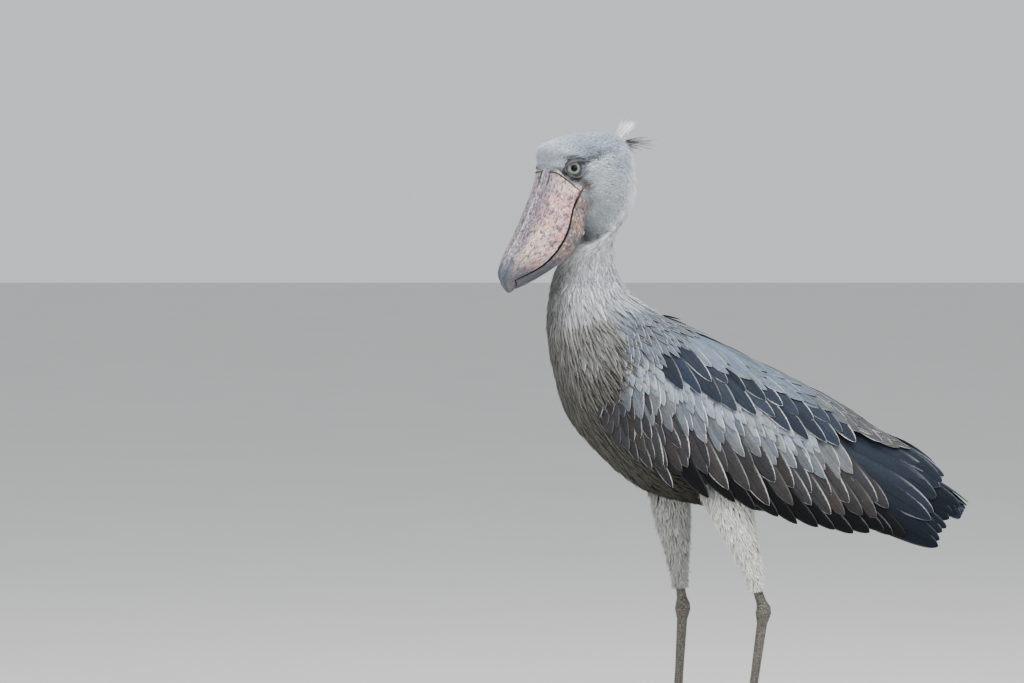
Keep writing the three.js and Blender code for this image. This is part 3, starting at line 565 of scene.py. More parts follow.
def feather_material(name, pale, barbs, bump=0.25, roughness=0.72, sheen=0.02):
    """Feather with a pale edge of one colour. barbs sets how fine the stripes are."""
    material, tree, shader = new_material(name, roughness)
    markings = node(tree, "ShaderNodeGroup", node_tree=FEATHER_GROUP)
    sources = {
        "Vane": node(tree, "ShaderNodeUVMap", uv_map="vane").outputs[0],
        "Place": object_place(tree),
        "Tint": node(tree, "ShaderNodeAttribute", attribute_name="tint").outputs["Color"],
        "Trim": node(tree, "ShaderNodeAttribute", attribute_name="trim").outputs["Fac"],
    }
    for title, source in sources.items():
        tree.links.new(source, markings.inputs[title])
    markings.inputs["Pale"].default_value = (*pale, 1)
    markings.inputs["Barbs"].default_value = barbs
    tree.links.new(markings.outputs["Colour"], shader.inputs["Base Color"])
    add_bump(tree, shader, markings.outputs["Height"], 0.0006, bump)
    shader.inputs["Sheen Weight"].default_value = sheen
    shader.inputs["Specular IOR Level"].default_value = 0.1
    return material


TUFT_MATERIAL = feather_material("soft_feathers", linear(228, 231, 234), 30, 0.1, 0.85, 0.1)
PLUME_MATERIAL = feather_material("breast_plumes", linear(196, 193, 186), 120)
COVERT_MATERIAL = feather_material("covert_feathers", linear(226, 228, 228), 150)
FLIGHT_MATERIAL = feather_material("flight_feathers", linear(176, 184, 192), 320, 0.3, 0.66)
FEATHER_MATERIALS = (TUFT_MATERIAL, PLUME_MATERIAL, COVERT_MATERIAL, FLIGHT_MATERIAL)
print("feather materials", [material.name for material in FEATHER_MATERIALS])

# %% [markdown]
# ## The skin
# Under the feathers lies one skin over head, neck, body and thighs, so that no seam shows where the
# coat parts. The trunk is a tube of rings, the thighs are tapered limbs, and a voxel remesh melts
# them into one closed surface.

# %% Skin of the trunk and thighs
SKIN_DEPTH = 2.5 * MM
SKIN_GRAIN = 3.5 * MM
LAST_SECTION = len(TRUNK) - 1
# Each thigh from the hip down, -1 for left and 1 for right: centre (x, z) and radius in millimetres.
THIGHS = {
    -1: [(22, 470, 34), (37, 432, 33), (54, 392, 29), (70, 348, 21), (84, 305, 13), (94, 268, 8.5)],
    1: [(-58, 470, 33), (-50, 430, 30), (-44, 385, 26), (-38, 340, 19), (-33, 298, 12), (-30, 264, 8.5)],
}
HIP_SIDE = 54 * MM


def tube(name, rings):
    """A closed tube through rings of points, written as a new object."""
    count, sides = rings.shape[:2]
    faces = [[r * sides + k, r * sides + (k + 1) % sides,
              (r + 1) * sides + (k + 1) % sides, (r + 1) * sides + k]
             for r in range(count - 1) for k in range(sides)]
    faces += [list(range(sides))[::-1], list(range((count - 1) * sides, count * sides))]
    mesh = bpy.data.meshes.new(name)
    mesh.from_pydata(rings.reshape(-1, 3).tolist(), [], faces)
    piece = bpy.data.objects.new(name, mesh)
    bpy.context.scene.collection.objects.link(piece)
    face_outwards(piece)
    return piece


def only(piece):
    """Makes one object the selected and active one."""
    bpy.ops.object.select_all(action="DESELECT")
    piece.select_set(True)
    bpy.context.view_layer.objects.active = piece


def face_outwards(piece):
    """Merges doubled points, then turns every face of a closed piece outwards."""
    only(piece)
    bpy.ops.object.mode_set(mode="EDIT")
    bpy.ops.mesh.select_all(action="SELECT")
    bpy.ops.mesh.remove_doubles(threshold=1e-6)
    bpy.ops.mesh.normals_make_consistent(inside=False)
    bpy.ops.object.mode_set(mode="OBJECT")


def limb_rings(stops, sides):
    """Rings square to a line of centres, each with its own radius."""
    centres = np.array([stop[0] for stop in stops])
    ahead = unit(np.gradient(centres, axis=0))
    across = unit(np.cross(np.array((0, 1.0, 0)), ahead))
    third = np.cross(ahead, across)
    angle = np.linspace(0, 2 * pi, sides, endpoint=False)
    radii = np.array([stop[1] for stop in stops])[:, None, None]
    return (centres[:, None] + radii * (across[:, None] * np.cos(angle)[None, :, None]
                                        + third[:, None] * np.sin(angle)[None, :, None]))


def join(pieces, name):
    """Makes several objects one, with a name of its own."""
    bpy.ops.object.select_all(action="DESELECT")
    for piece in pieces:
        piece.select_set(True)
    bpy.context.view_layer.objects.active = pieces[0]
    bpy.ops.object.join()
    pieces[0].name = name
    return pieces[0]


sections = np.linspace(0.02, LAST_SECTION, 140)
angles = np.linspace(0, 2 * pi, 72, endpoint=False)
rings = trunk(*np.meshgrid(sections, angles, indexing="ij"), grow=-SKIN_DEPTH)
parts = [tube("skin", rings)]
for side, stops in THIGHS.items():
    line = [(np.array((x * MM, side * HIP_SIDE, z * MM)) + SHIFT, radius * MM - SKIN_DEPTH)
            for x, z, radius in stops]
    parts.append(tube(f"thigh_{side}", limb_rings(line, 24)))
skin = join(parts, "skin")
melt = skin.modifiers.new("melt", "REMESH")
melt.mode = "VOXEL"
melt.voxel_size = SKIN_GRAIN
only(skin)
bpy.ops.object.modifier_apply(modifier="melt")
ease = skin.modifiers.new("ease", "SMOOTH")
ease.iterations = 3
bpy.ops.object.modifier_apply(modifier="ease")
bpy.ops.object.shade_smooth()
print("skin faces", len(skin.data.polygons))

# %% Skin colour
SKIN_SHADE = 0.8
THIGH_SHADE = 0.55
THIGH_TOP = (0.39, 0.43)
nearest = KDTree(sections.size * angles.size)
for number, point in enumerate(rings.reshape(-1, 3)):
    nearest.insert(point, number)
nearest.balance()
near = np.array([nearest.find(corner.co)[1] for corner in skin.data.vertices])
skin_t, skin_angle = (grid.reshape(-1)[near] for grid in np.meshgrid(sections, angles, indexing="ij"))
height = np.array([corner.co.z for corner in skin.data.vertices])
paint(skin.data, blend(trunk_tint(skin_t, skin_angle) * SKIN_SHADE, DOWN_WHITE * THIGH_SHADE,
                       1 - smoothstep(*THIGH_TOP, height)))
skin_material, tree, shader = new_material("under_down", 0.95)
tinted = node(tree, "ShaderNodeAttribute", attribute_name="tint").outputs["Color"]
fluff = noise(tree, object_place(tree), 300, 4, 0.7)
tree.links.new(mix(tree, calc(tree, "MULTIPLY", fluff, 0.6), tinted, (0.04, 0.04, 0.045)),
               shader.inputs["Base Color"])
add_bump(tree, shader, fluff, 0.001)
skin.data.materials.append(skin_material)
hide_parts("head", "neck", "torso", "thigh_left", "thigh_right")
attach(skin, "root")

# %% [markdown]
# ## The small feathers of head, neck and body
# Feathers overlap like roof tiles from bill to tail. Places are scattered evenly over the trunk, each
# with a small random turn, and the length, breadth and stand of a feather come from where it grows:
# short velvet on the face, fine strands on the neck, long pointed plumes on the breast.

# %% Scatter places over the trunk
BAKE_EDGE = 0.02


def rule_at(rule, *places):
    """A rule's value at places. A rule is a plain number or a function of the places."""
    return rule(*places) if callable(rule) else rule + 0 * places[0]


def scatter(rng, low, high, gap):
    """Places (t, angle) spread evenly over the trunk between two sections, about gap apart."""
    found = []
    t = low
    while t < high:
        here = trunk(np.array([t]), np.array([0.0]))[0]
        beneath = trunk(np.array([t]), np.array([pi]))[0]
        ahead = trunk(np.array([t + 0.1, t + 0.1]), np.array([0.0, pi]))
        pace = max(np.linalg.norm(ahead[0] - here), np.linalg.norm(ahead[1] - beneath)) / 0.1
        half = read_rows(TRUNK, np.array([t]))[0, 4]
        tall = np.linalg.norm(here - beneath) / 2
        girth = pi * (3 * (half + tall) - ((3 * half + tall) * (half + 3 * tall)) ** 0.5)
        apart = rule_at(gap, t)
        count = max(int(girth / apart), 4)
        angle = (np.arange(count) + rng.random()) * 2 * pi / count
        found.append(np.stack((t + rng.uniform(-0.5, 0.5, count) * apart / pace,
                               angle + rng.normal(0, 0.3, count) * 2 * pi / count), -1))
        t += apart / pace
    return np.concatenate(found)


def band(places, low, high=2 * pi):
    """The places whose angle away from the back lies between two values."""
    away = from_back(places[:, 1])
    return places[(away >= low) & (away < high)]


def trunk_stations(t, angle, length, sway, lift, steps):
    """Stations of blades that lie along the trunk. sway turns each on its place; lift is (root, tip)."""
    step = 1e-3
    by_t = np.linalg.norm(trunk(t + step, angle) - trunk(t - step, angle), axis=-1) / (2 * step)
    by_a = np.linalg.norm(trunk(t, angle + step) - trunk(t, angle - step), axis=-1) / (2 * step)
    dt = (length * np.cos(sway) / np.maximum(by_t, 0.012))[:, None]
    da = (length * np.sin(sway) / np.maximum(by_a, 0.01))[:, None]
    share = steps_of(steps)[None]
    at, across, up = lie(trunk, t[:, None] + dt * share, angle[:, None] + da * share,
                         dt + 0 * share, da + 0 * share, TRUNK_SIGN)
    rise = lift[0][:, None] + (lift[1] - lift[0])[:, None] * share ** 0.8
    return (at + up * rise[..., None], across, up), share


def bake_spot(across, along):
    """A place on the bake map, kept clear of its edges, from two shares from 0 to 1."""
    return BAKE_EDGE + (1 - 2 * BAKE_EDGE) * np.stack((across, along), -1)


# %% Lay feathers on the trunk
BLADE_THICK = 0.35 * MM
BLADE_CAMBER = 0.15


def lay(name, places, rng, length, width, lift, section, steps, material, trim=0.0, sway=0.18,
        point=0.9, tint=trunk_tint, vary=0.08, stray=(0.0, 0.0)):
    """Lays blades of one kind at places on the trunk. Length, width and trim are rules, lift is at the
    root and the tip in millimetres, and stray is the share that stands out, and how far."""
    t, angle = places.T
    count = len(t)
    long = rule_at(length, t, angle) * spread(0.14, count, rng)
    stand = lift[1] * spread(0.3, count, rng)
    stand = stand + (rng.random(count) < stray[0]) * rng.uniform(0.3, 1, count) * stray[1]
    stations, share = trunk_stations(t, angle, long, rng.normal(0, sway, count),
                                     (np.full(count, lift[0] * MM), stand * MM), steps)
    half = rule_at(width, t, angle)[:, None] / 2 * blade_breadth(share, point)
    half = half * spread(0.12, count, rng)[:, None]
    depth = np.full_like(half, BLADE_THICK) * (1 - 0.6 * share)
    colour = tint(t, angle) * spread(vary, count, rng)[:, None]
    bake = bake_spot((angle / (2 * pi)) % 1, np.clip(t / LAST_SECTION, 0, 1))
    piece = blades(name, stations, half, depth, section, np.clip(colour, 0, 1),
                   np.clip(rule_at(trim, t, angle), 0, 1), bake, BLADE_CAMBER)
    piece.data.materials.append(material)
    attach(piece, "root")
    print(name, count, "blades", len(piece.data.polygons), "faces")


# %% Face, head and neck
EYE_KEEP = 20 * MM
MOUTH_CORNER = np.array((-222, 49, 932)) * MM
MOUTH_KEEP = 7 * MM
CROWN_END = 4.3


def clear_of_eyes(places):
    """Leaves out places too near an eye or the bare corner of the mouth."""
    at = trunk(*places.T)
    keep = np.ones(len(at), bool)
    for side in (-1, 1):
        for centre, radius in ((EYE_AT, EYE_KEEP), (MOUTH_CORNER, MOUTH_KEEP)):
            keep &= np.linalg.norm(at - turn(centre * (1, side, 1)) - SHIFT, axis=1) > radius
    return places[keep]


rng = np.random.default_rng(7)
face = clear_of_eyes(scatter(rng, 0.05, 2.4, 1.8 * MM))
lay("face_feathers", face, rng, lambda t, a: (4.5 + 2.2 * t) * MM, 1.7 * MM,
    (-1.3, 0.6), SECTION_TUFT, 3, TUFT_MATERIAL, sway=0.3, vary=0.12)
head = clear_of_eyes(scatter(rng, 2.4, 6.8, 2.3 * MM))
crown = head[head[:, 0] < CROWN_END]
cheek = head[head[:, 0] >= CROWN_END]
for title, places in (("crown_feathers", crown), ("cheek_feathers", cheek)):
    lay(title, places, rng, 11 * MM, 2.1 * MM,
        (-1.6, 1.0), SECTION_TUFT, 4, TUFT_MATERIAL, sway=0.38, vary=0.15, stray=(0.03, 2.5))
nape = band(scatter(rng, 3.0, 7.6, 3.4 * MM), 0, 1.25)
lay("nape_feathers", nape, rng, 16 * MM, 1.6 * MM,
    (-1.8, 1.2), SECTION_TUFT, 5, TUFT_MATERIAL, sway=0.4, vary=0.1, stray=(0.14, 5.0))
neck = scatter(rng, 6.6, 11.0, 2.5 * MM)
lay("neck_feathers", neck, rng, lambda t, a: (14 + 4.5 * (t - 6.6)) * MM,
    lambda t, a: (2.3 + 0.4 * (t - 6.6)) * MM, (-1.8, 1.2), SECTION_TUFT, 5, TUFT_MATERIAL,
    trim=0.3, sway=0.24, vary=0.26, stray=(0.04, 3.5))

# %% [markdown]
# ## Breast plumes, belly and shawl
# The breast carries long lance-shaped plumes with pale edges that lie loosely over one another. The
# belly and thighs are softer and shorter. A shawl of broader feathers joins the neck to the wings, and
# side plumes fall over the wings' front edges. Places that the wings hide get no feathers.

# %% Rules for the body's feathers
BELLY_START = 14.2


def body_length(t, angle):
    front = smoothstep(1.2, 2.4, from_back(angle))
    return (26 + 22 * front * smoothstep(10.5, 12.5, t) * (1 - smoothstep(14.5, 16, t))) * MM


def body_trim(t, angle):
    return 0.5 * smoothstep(11, 12.5, t) * (1 - 0.6 * smoothstep(15, 17, t))


def body_gap(t):
    return (5.2 if t < BELLY_START else 7.0) * MM


def shawl_trim(t, angle):
    return 0.9 * smoothstep(11.4, 12.2, t)


def shawl_tint(t, angle):
    lower = blend(FRONT_BROWN, MANTLE_GREY * 0.7, smoothstep(1.7, 1.0, from_back(angle)))
    return blend(trunk_tint(t, angle), lower, smoothstep(10.7, 11.9, t))


# %% Breast, belly and sides
FLAT_SECTION = SECTION_VANE[[0, 2, 4, 7]]
body = scatter(rng, 10.6, 19.6, body_gap)
away = from_back(body[:, 1])
hidden = (body[:, 0] > 13.2) & (body[:, 0] < 18.5) & (away > 0.6) & (away < 1.35)
body = body[~hidden]
front = body[body[:, 0] < BELLY_START]
belly = body[body[:, 0] >= BELLY_START]
for title, places in (("body_plumes", front), ("belly_plumes", belly)):
    lay(title, places, rng, body_length, 7.2 * MM, (-1.2, 3.4),
        SECTION_TUFT, 6, PLUME_MATERIAL, trim=body_trim, sway=0.17, vary=0.15)
breast = band(scatter(rng, 10.2, 13.8, 7.0 * MM), 1.1)
lay("breast_plumes", breast, rng, lambda t, a: (44 + 8 * (t - 10.2)) * MM, 5.6 * MM,
    (-1.6, 2.6), FLAT_SECTION, 9, PLUME_MATERIAL, trim=0.5, sway=0.11, point=1.0, vary=0.2)
shawl = band(scatter(rng, 11.2, 13.0, 6.8 * MM), 0.35, 2.1)
lay("shoulder_shawl", shawl, rng, 40 * MM, lambda t, a: (5.5 + 5 * smoothstep(11.5, 12.5, t)) * MM,
    (-0.5, 6), SECTION_VANE, 9, COVERT_MATERIAL, trim=shawl_trim, sway=0.13, point=0.75, vary=0.2,
    tint=shawl_tint)
sides = band(scatter(rng, 11.6, 14.4, 6.2 * MM), 1.3, 2.4)
lay("side_plumes", sides, rng, 46 * MM, 5.4 * MM,
    (-0.5, 8), FLAT_SECTION, 8, PLUME_MATERIAL, trim=0.7, sway=0.12, point=0.85, vary=0.22,
    tint=lambda t, a: blend(PLUME_BROWN, BREAST_BROWN, smoothstep(12.0, 13.8, t)))

# %% [markdown]
# ## Down of the thighs
# White down hangs over the thighs in short tufts. Each thigh is a surface of its own, round a line from
# the hip to above the bare shank, and the tufts grow longer and wider towards the hip.

# %% Thigh down
PLUMES_PER_THIGH = 3600
FAR_THIGH_SHADE = 0.55


def thigh_plumes(side):
    """The down of one thigh. The right thigh's down is darkened with painted shade, for the body's shadow
    that falls on it.
    """
    stops = np.array(THIGHS[side]) * MM
    last = len(stops) - 1

    def leg(t, angle):
        rows = read_rows(stops, t)
        ahead = read_rows(stops, np.minimum(t + 0.05, last)) - read_rows(stops, t - 0.05)
        ahead = unit(ahead[..., :2])
        x = rows[..., 0] + rows[..., 2] * np.cos(angle) * ahead[..., 1]
        z = rows[..., 1] - rows[..., 2] * np.cos(angle) * ahead[..., 0]
        y = side * HIP_SIDE + rows[..., 2] * np.sin(angle)
        return np.stack((x, y, z), -1) + SHIFT

    rng = np.random.default_rng(20 + side)
    t = rng.uniform(0.2, last - 0.15, PLUMES_PER_THIGH)
    t = t[rng.random(PLUMES_PER_THIGH) < 0.3 + 0.7 * read_rows(stops, t)[:, 2] / (34 * MM)]
    count = len(t)
    angle = rng.uniform(0, 2 * pi, count)
    share = steps_of(5)[None]
    long = (12 + 10 * (1 - t / last)) * MM * spread(0.2, count, rng)
    dt = long / (42 * MM)
    at, across, up = lie(leg, np.minimum(t[:, None] + dt[:, None] * share, last - 0.02),
                         angle[:, None] + rng.normal(0, 0.1, count)[:, None] * share,
                         1 + 0 * t[:, None] * share, 0 * t[:, None] * share,
                         outward_sign(leg, 2.0, pi / 2, 1))
    rise = (-1 + 6.2 * share) * MM * spread(0.3, count, rng)[:, None]
    half = (1.5 + 1.3 * (1 - t / last))[:, None] * MM * blade_breadth(share, 0.9)
    colour = blend(DOWN_WHITE, BELLY_BROWN, 0.7 * (1 - smoothstep(0, 1.5, t)))
    # Painted shade: the far thigh's down is darkened for the body's shadow on it.
    if side > 0:
        colour = colour * FAR_THIGH_SHADE
    colour = colour * spread(0.1, count, rng)[:, None]
    piece = blades(f"thigh_down_{'left' if side < 0 else 'right'}", (at + up * rise[..., None], across, up),
                   half, np.full_like(half, 0.4 * MM), SECTION_TUFT, np.clip(colour, 0, 1),
                   np.full(count, 0.25), bake_spot(angle / (2 * pi), t / last), 0.1)
    piece.data.materials.append(TUFT_MATERIAL)
    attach(piece, "root")
    print(piece.name, count, "blades")


for side in (-1, 1):
    thigh_plumes(side)

# %% [markdown]
# ## The folded wings
# A folded wing shows its feathers in tiers: small coverts at the shoulder, longer coverts below, then
# the secondaries, and the primaries and tertials that reach past the body. Scapulars hang over the
# top like a shawl. Each tier runs between two root places and two tip places on the wing's surface.

# %% Wing tiers
# A tier's roots and tips are each given for its first and its last feather, as (u, v) places: u
# counts sections from the shoulder and v runs from the back to the lower edge. Further rows are
# shifted. Widths and lifts at root and tip are in millimetres, and long counts a blade's stations.
WING_TIERS = [
    dict(name="primaries", count=8, rows=1, width=38, lift=(-4, 0.5), point=0.2, trim=0.2, long=18,
         roots=((4.2, 0.8), (5.1, 0.46)), tips=((6.75, 1.0), (7.4, 0.4)),
         tint=FLIGHT_SLATE, flight=True),
    dict(name="secondaries", count=12, rows=1, width=36, lift=(-4, 1.5), point=0.25, trim=0.2, long=14,
         roots=((1.0, 0.64), (4.3, 0.62)), tips=((2.5, 1.03), (6.3, 1.01)),
         tint=QUILL_DARK, flight=True),
    # Half of the tertials' tint is the scapulars' slate with its painted shade.
    dict(name="tertials", count=7, rows=1, width=42, lift=(-4, 5), point=0.3, trim=0.55, long=16,
         roots=((3.9, 0.54), (4.3, 0.07)), tips=((6.6, 0.78), (6.95, 0.07)),
         tint=(FLIGHT_SLATE + SCAPULAR_SHADED_SLATE) / 2, flight=True),
    dict(name="edge_coverts", count=9, rows=4, width=22, lift=(-3, 3.5), point=0.3, trim=0.6, long=8,
         roots=((-0.1, 0.8), (1.5, 0.86)), tips=((0.38, 0.97), (2.2, 1.03)), shift=(-0.05, -0.085),
         tint=COVERT_BROWN),
    dict(name="greater_coverts", count=12, rows=2, width=35, lift=(-3, 3.2), point=0.3, trim=0.7, long=12,
         roots=((0.75, 0.6), (4.0, 0.5)), tips=((1.75, 0.95), (5.5, 0.86)), shift=(0.14, -0.09),
         tint=COVERT_BROWN),
    dict(name="median_coverts", count=14, rows=3, width=26, lift=(-3, 4.2), point=0.35, trim=1.3, long=11,
         roots=((0.25, 0.55), (3.6, 0.45)), tips=((0.95, 0.8), (4.6, 0.68)), shift=(0.1, -0.052),
         tint=COVERT_BROWN * 0.68 + COVERT_BLUE * 0.32),
    dict(name="lesser_coverts", count=24, rows=5, width=17, lift=(-2.5, 5.6), point=0.45, trim=1.2, long=9,
         roots=((-0.1, 0.54), (3.4, 0.43)), tips=((0.3, 0.69), (3.95, 0.575)), shift=(0.03, -0.03),
         tint=COVERT_BLUE * 0.76),
    # The scapulars' tint carries painted shade.
    dict(name="scapulars", count=10, rows=2, width=31, lift=(-0.5, 10), point=0.3, trim=1.0, long=14,
         roots=((0.6, 0.3), (3.3, 0.22)), tips=((1.7, 0.54), (4.5, 0.47)), shift=(0.2, -0.1),
         tint=SCAPULAR_SHADED_SLATE),
    dict(name="mantle", count=10, rows=8, width=14, lift=(-1, 10), point=0.7, trim=2.0, long=11,
         roots=((-0.3, 0.46), (0.9, 0.34)), tips=((0.25, 0.61), (1.5, 0.46)), shift=(0.06, -0.055),
         tint=MANTLE_GREY * 0.45),
    # The back feathers' tint carries painted light from above.
    dict(name="back_feathers", count=13, rows=4, width=25, lift=(1, 11), point=0.5, trim=1.2, long=13,
         roots=((1.0, 0.22), (4.4, 0.12)), tips=((2.0, 0.36), (5.8, 0.2)), shift=(0.13, -0.05),
         tint=BACK_BLUE_LIT * 0.76, rear=BACK_BROWN),
]
TILT = radians(8)
ROOT_WANDER = 0.006
TIP_WANDER = 0.018
WING_BLADE_THICK = 0.45 * MM
# The sections between which a tier's tint turns into its rear tint.
REAR_SECTIONS = (1.7, 3.6)


def along_tier(ends, share):
    """Places on the line from a tier's first feather to its last."""
    first, last = np.array(ends)
    return first + (last - first) * share[:, None]


def wing_tier(tier, side, rng):
    """The stations and looks of one tier's feathers on one wing."""
    roots, tips = [], []
    for row in range(tier["rows"]):
        offset = np.array(tier.get("shift", (0, 0))) * row
        share = (np.arange(tier["count"]) + 0.5 * (row % 2)) / tier["count"]
        shape = (len(share), 2)
        roots.append(along_tier(tier["roots"], share) + offset + rng.normal(0, ROOT_WANDER, shape))
        tips.append(along_tier(tier["tips"], share) + offset + rng.normal(0, TIP_WANDER, shape))
    root, tip = np.concatenate(roots), np.concatenate(tips)
    root[:, 1] = np.maximum(root[:, 1], 0.01)
    tip[:, 1] = np.maximum(tip[:, 1], 0.015)
    count = len(root)
    share = steps_of(tier["long"])[None]
    way = (tip - root)[:, None]
    path = root[:, None] + way * share[..., None]
    gone = way + 0 * path
    at, across, up = lie(wing_on(side), path[..., 0], path[..., 1], gone[..., 0], gone[..., 1],
                         WING_SIGN * side)
    lean = TILT * side * np.ones((count, 1, 1)) + rng.normal(0, 0.03, (count, 1, 1))
    across, up = across * np.cos(lean) - up * np.sin(lean), up * np.cos(lean) + across * np.sin(lean)
    low, high = (value * MM for value in tier["lift"])
    rise = low + (high - low) * share * spread(0.08, count, rng)[:, None]
    half = tier["width"] / 2 * MM * blade_breadth(share, tier["point"]) * spread(0.08, count, rng)[:, None]
    thick = WING_BLADE_THICK * (1 - 0.5 * share) + 0 * half
    tint = blend(tier["tint"], tier.get("rear", tier["tint"]), smoothstep(*REAR_SECTIONS, root[:, 0]))
    tint = tint * spread(0.13, count, rng)[:, None]
    tint = tint * (1 + rng.normal(0, 0.035, count)[:, None] * np.array((1, 0, -1.2)))
    return (at + up * rise[..., None], across, up), half, thick, tint, root


# %% Dress both wings
# The largest u and v that a feather's root may have, for its spot on the bake map.
WING_REACH = (7.5, 16 / 15)
CORE_INSET = 2.0 * MM
# The core's thickness along the wing: sections from the shoulder, and millimetres.
CORE_SECTIONS = (0, 3, 5, 5.6)
CORE_DEPTHS = (20, 22, 10, 3)


def dress_wing(side):
    title = "left" if side < 0 else "right"
    rng = np.random.default_rng(40 + side)
    for tier in WING_TIERS:
        stations, half, thick, tint, root = wing_tier(tier, side, rng)
        trim = np.clip(tier["trim"] * (0.15 + rng.random(len(tint)) ** 1.6), 0, 1)
        piece = blades(f"{tier['name']}_{title}", stations, half, thick, SECTION_VANE,
                       np.clip(tint, 0, 1), trim, bake_spot(*(root / WING_REACH).T), 0.12)
        piece.data.materials.append(FLIGHT_MATERIAL if tier.get("flight") else COVERT_MATERIAL)
        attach(piece, "root")
        print(piece.name, len(tint), "feathers")


def wing_core(side):
    """The arm and the roots of the feathers, a thick curved shell under the tiers."""
    title = "left" if side < 0 else "right"
    u, v = np.meshgrid(np.linspace(0.05, CORE_SECTIONS[-1], 40), np.linspace(0.02, 0.97, 24), indexing="ij")
    at, across, up = lie(wing_on(side), u, v, 1 + 0 * u, 0 * u, WING_SIGN * side)
    deep = np.interp(u, CORE_SECTIONS, CORE_DEPTHS)[..., None] * MM
    rings = np.concatenate((at - up * CORE_INSET, (at - up * deep)[:, ::-1]), axis=1)
    piece = tube(f"wing_core_{title}", rings)
    bpy.ops.object.shade_smooth()
    paint(piece.data, np.tile(QUILL_DARK, (len(piece.data.vertices), 1)))
    piece.data.materials.append(skin_material)
    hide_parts(f"wing_{title}")
    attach(piece, "root")
    print(piece.name, len(piece.data.polygons), "faces")


for side in (-1, 1):
    wing_core(side)
    dress_wing(side)

# %% [markdown]
# ## The tail
# Short and square, mostly hidden by the wings. One feather lies in the middle on top and the pairs
# fan out beneath it.

# %% Tail feathers
TAIL_ROOT = np.array((304, 0, 462)) * MM
TAIL_TIP = np.array((444, 0, 402)) * MM
TAIL_PAIRS = 5
TAIL_BOW = 16 * MM
TAIL_HALF = 22 * MM
TAIL_SPACING = 8 * MM
TAIL_ROLL = radians(11)
TAIL_STEPS = 14
SIDEWAYS = np.array((0, 1.0, 0))
place = np.arange(-TAIL_PAIRS, TAIL_PAIRS + 1)
rank = np.abs(place)[:, None]
share = steps_of(TAIL_STEPS)[None]
tail_run = TAIL_TIP - TAIL_ROOT
tail_at = np.zeros((len(place), TAIL_STEPS, 3))
tail_at[..., 0] = TAIL_ROOT[0] + tail_run[0] * share * (1 - 0.022 * rank)
tail_at[..., 1] = place[:, None] * TAIL_SPACING * (0.35 + 0.7 * share)
tail_at[..., 2] = (TAIL_ROOT[2] + tail_run[2] * share + 4 * TAIL_BOW * share * (1 - share)
                   + (9 - 4.2 * rank * (0.4 + 0.6 * share)) * MM)
roll = TAIL_ROLL * place[:, None, None]
tail_way = unit(tail_run)
tail_across = SIDEWAYS * np.cos(roll) - np.cross(tail_way, SIDEWAYS) * np.sin(roll) + 0 * tail_at
tail_up = np.cross(tail_way, tail_across)
tail_up = tail_up * np.sign(tail_up[..., 2:3])
tail_half = TAIL_HALF * blade_breadth(share, 0.0) * np.ones((len(place), 1))
tail_bake = np.stack((0.1 + 0.06 * np.arange(len(place)), 0.5 + 0 * place), -1)
tail = blades("tail_feathers", (tail_at + SHIFT, tail_across, tail_up), tail_half,
              np.full_like(tail_half, 0.5 * MM), SECTION_VANE, np.tile(FLIGHT_SLATE * 1.5, (len(place), 1)),
              np.full(len(place), 0.2), tail_bake, 0.1)
tail.data.materials.append(FLIGHT_MATERIAL)
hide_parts("tail")
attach(tail, "root")
print("tail", len(place), "feathers")

# %% [markdown]
# ## The crest
# A few loose feathers at the nape stand away from the head: a pale upright tuft and dark strands that
# droop behind it. They are set feather by feather, fanned from upright to drooping.

# %% Crest feathers
CREST_ROOT = np.array((-127, 0, 1004)) * MM
CREST_STEPS = 8
CREST_DROOP = 5 * MM
# Number, middle angle, spread of angles, shortest and longest length, half width, colour.
CREST_GROUPS = [
    (110, 53, 6, 28, 50, 1.2, linear(244, 245, 244)),   # white tuft
    (36, 6, 5, 38, 70, 1.0, linear(86, 86, 90)),        # long dark strands
    (26, -10, 10, 22, 40, 0.8, linear(150, 156, 162)),  # grey wisps
    (30, -34, 12, 16, 30, 0.9, linear(206, 210, 214)),  # low wisps
]


def turn_only(ways):
    """Directions turned with the head."""
    return turn(ways + (HEAD_PIVOT_X, 0, 0)) - (HEAD_PIVOT_X, 0, 0)


rng = np.random.default_rng(5)
share = steps_of(CREST_STEPS)[None]
crest_parts = []
for number, middle, wide, shortest, longest, thin, colour in CREST_GROUPS:
    angle = np.radians(rng.normal(middle, wide, number))
    reach = rng.uniform(shortest, longest, number) * MM
    aside = rng.normal(0, 3.5, number) * MM
    along = np.stack((np.cos(angle), aside * 18, np.sin(angle)), -1)
    start = CREST_ROOT + np.stack((-12 * MM * np.sin(angle) ** 2, aside, 3 * MM * (np.sin(angle) + 0.9)), -1)
    line = start[:, None] + along[:, None] * (reach[:, None] * share)[..., None]
    line[..., 2] -= CREST_DROOP * share ** 2 + 2 * MM
    upright = np.stack((-np.sin(angle), 0 * angle, np.cos(angle)), -1)[:, None] + 0 * line
    crest_parts.append((line, upright, thin * rng.uniform(0.7, 1.2, number),
                        np.tile(colour, (number, 1)) * spread(0.1, number, rng)[:, None]))
crest_at, crest_up, crest_half, crest_tint = (np.concatenate(group) for group in zip(*crest_parts))
crest_count = len(crest_half)
crest_stations = (turn(crest_at) + SHIFT, turn_only(0 * crest_at + (0, 1, 0)), turn_only(crest_up))
crest_breadth = crest_half[:, None] * MM * blade_breadth(share, 0.9)
crest_bake = np.stack((np.linspace(0.4, 0.6, crest_count), 0.2 + 0 * crest_half), -1)
crest = blades("crest", crest_stations, crest_breadth, BLADE_THICK + 0 * crest_breadth,
               SECTION_TUFT, np.clip(crest_tint, 0, 1), np.zeros(crest_count), crest_bake, 0.1)
crest.data.materials.append(TUFT_MATERIAL)
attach(crest, "root")
print("crest", crest_count, "strands")

# %% [markdown]
# ## The bill
# The shoebill's bill is a swollen, ridged vault of horn with a hooked nail. It is lofted from the
# same sections as the solids, with more rings. The keel, the grooves beside it, the nostril slots and
# the swollen base are raised in the mesh itself, because they catch the light from every side.

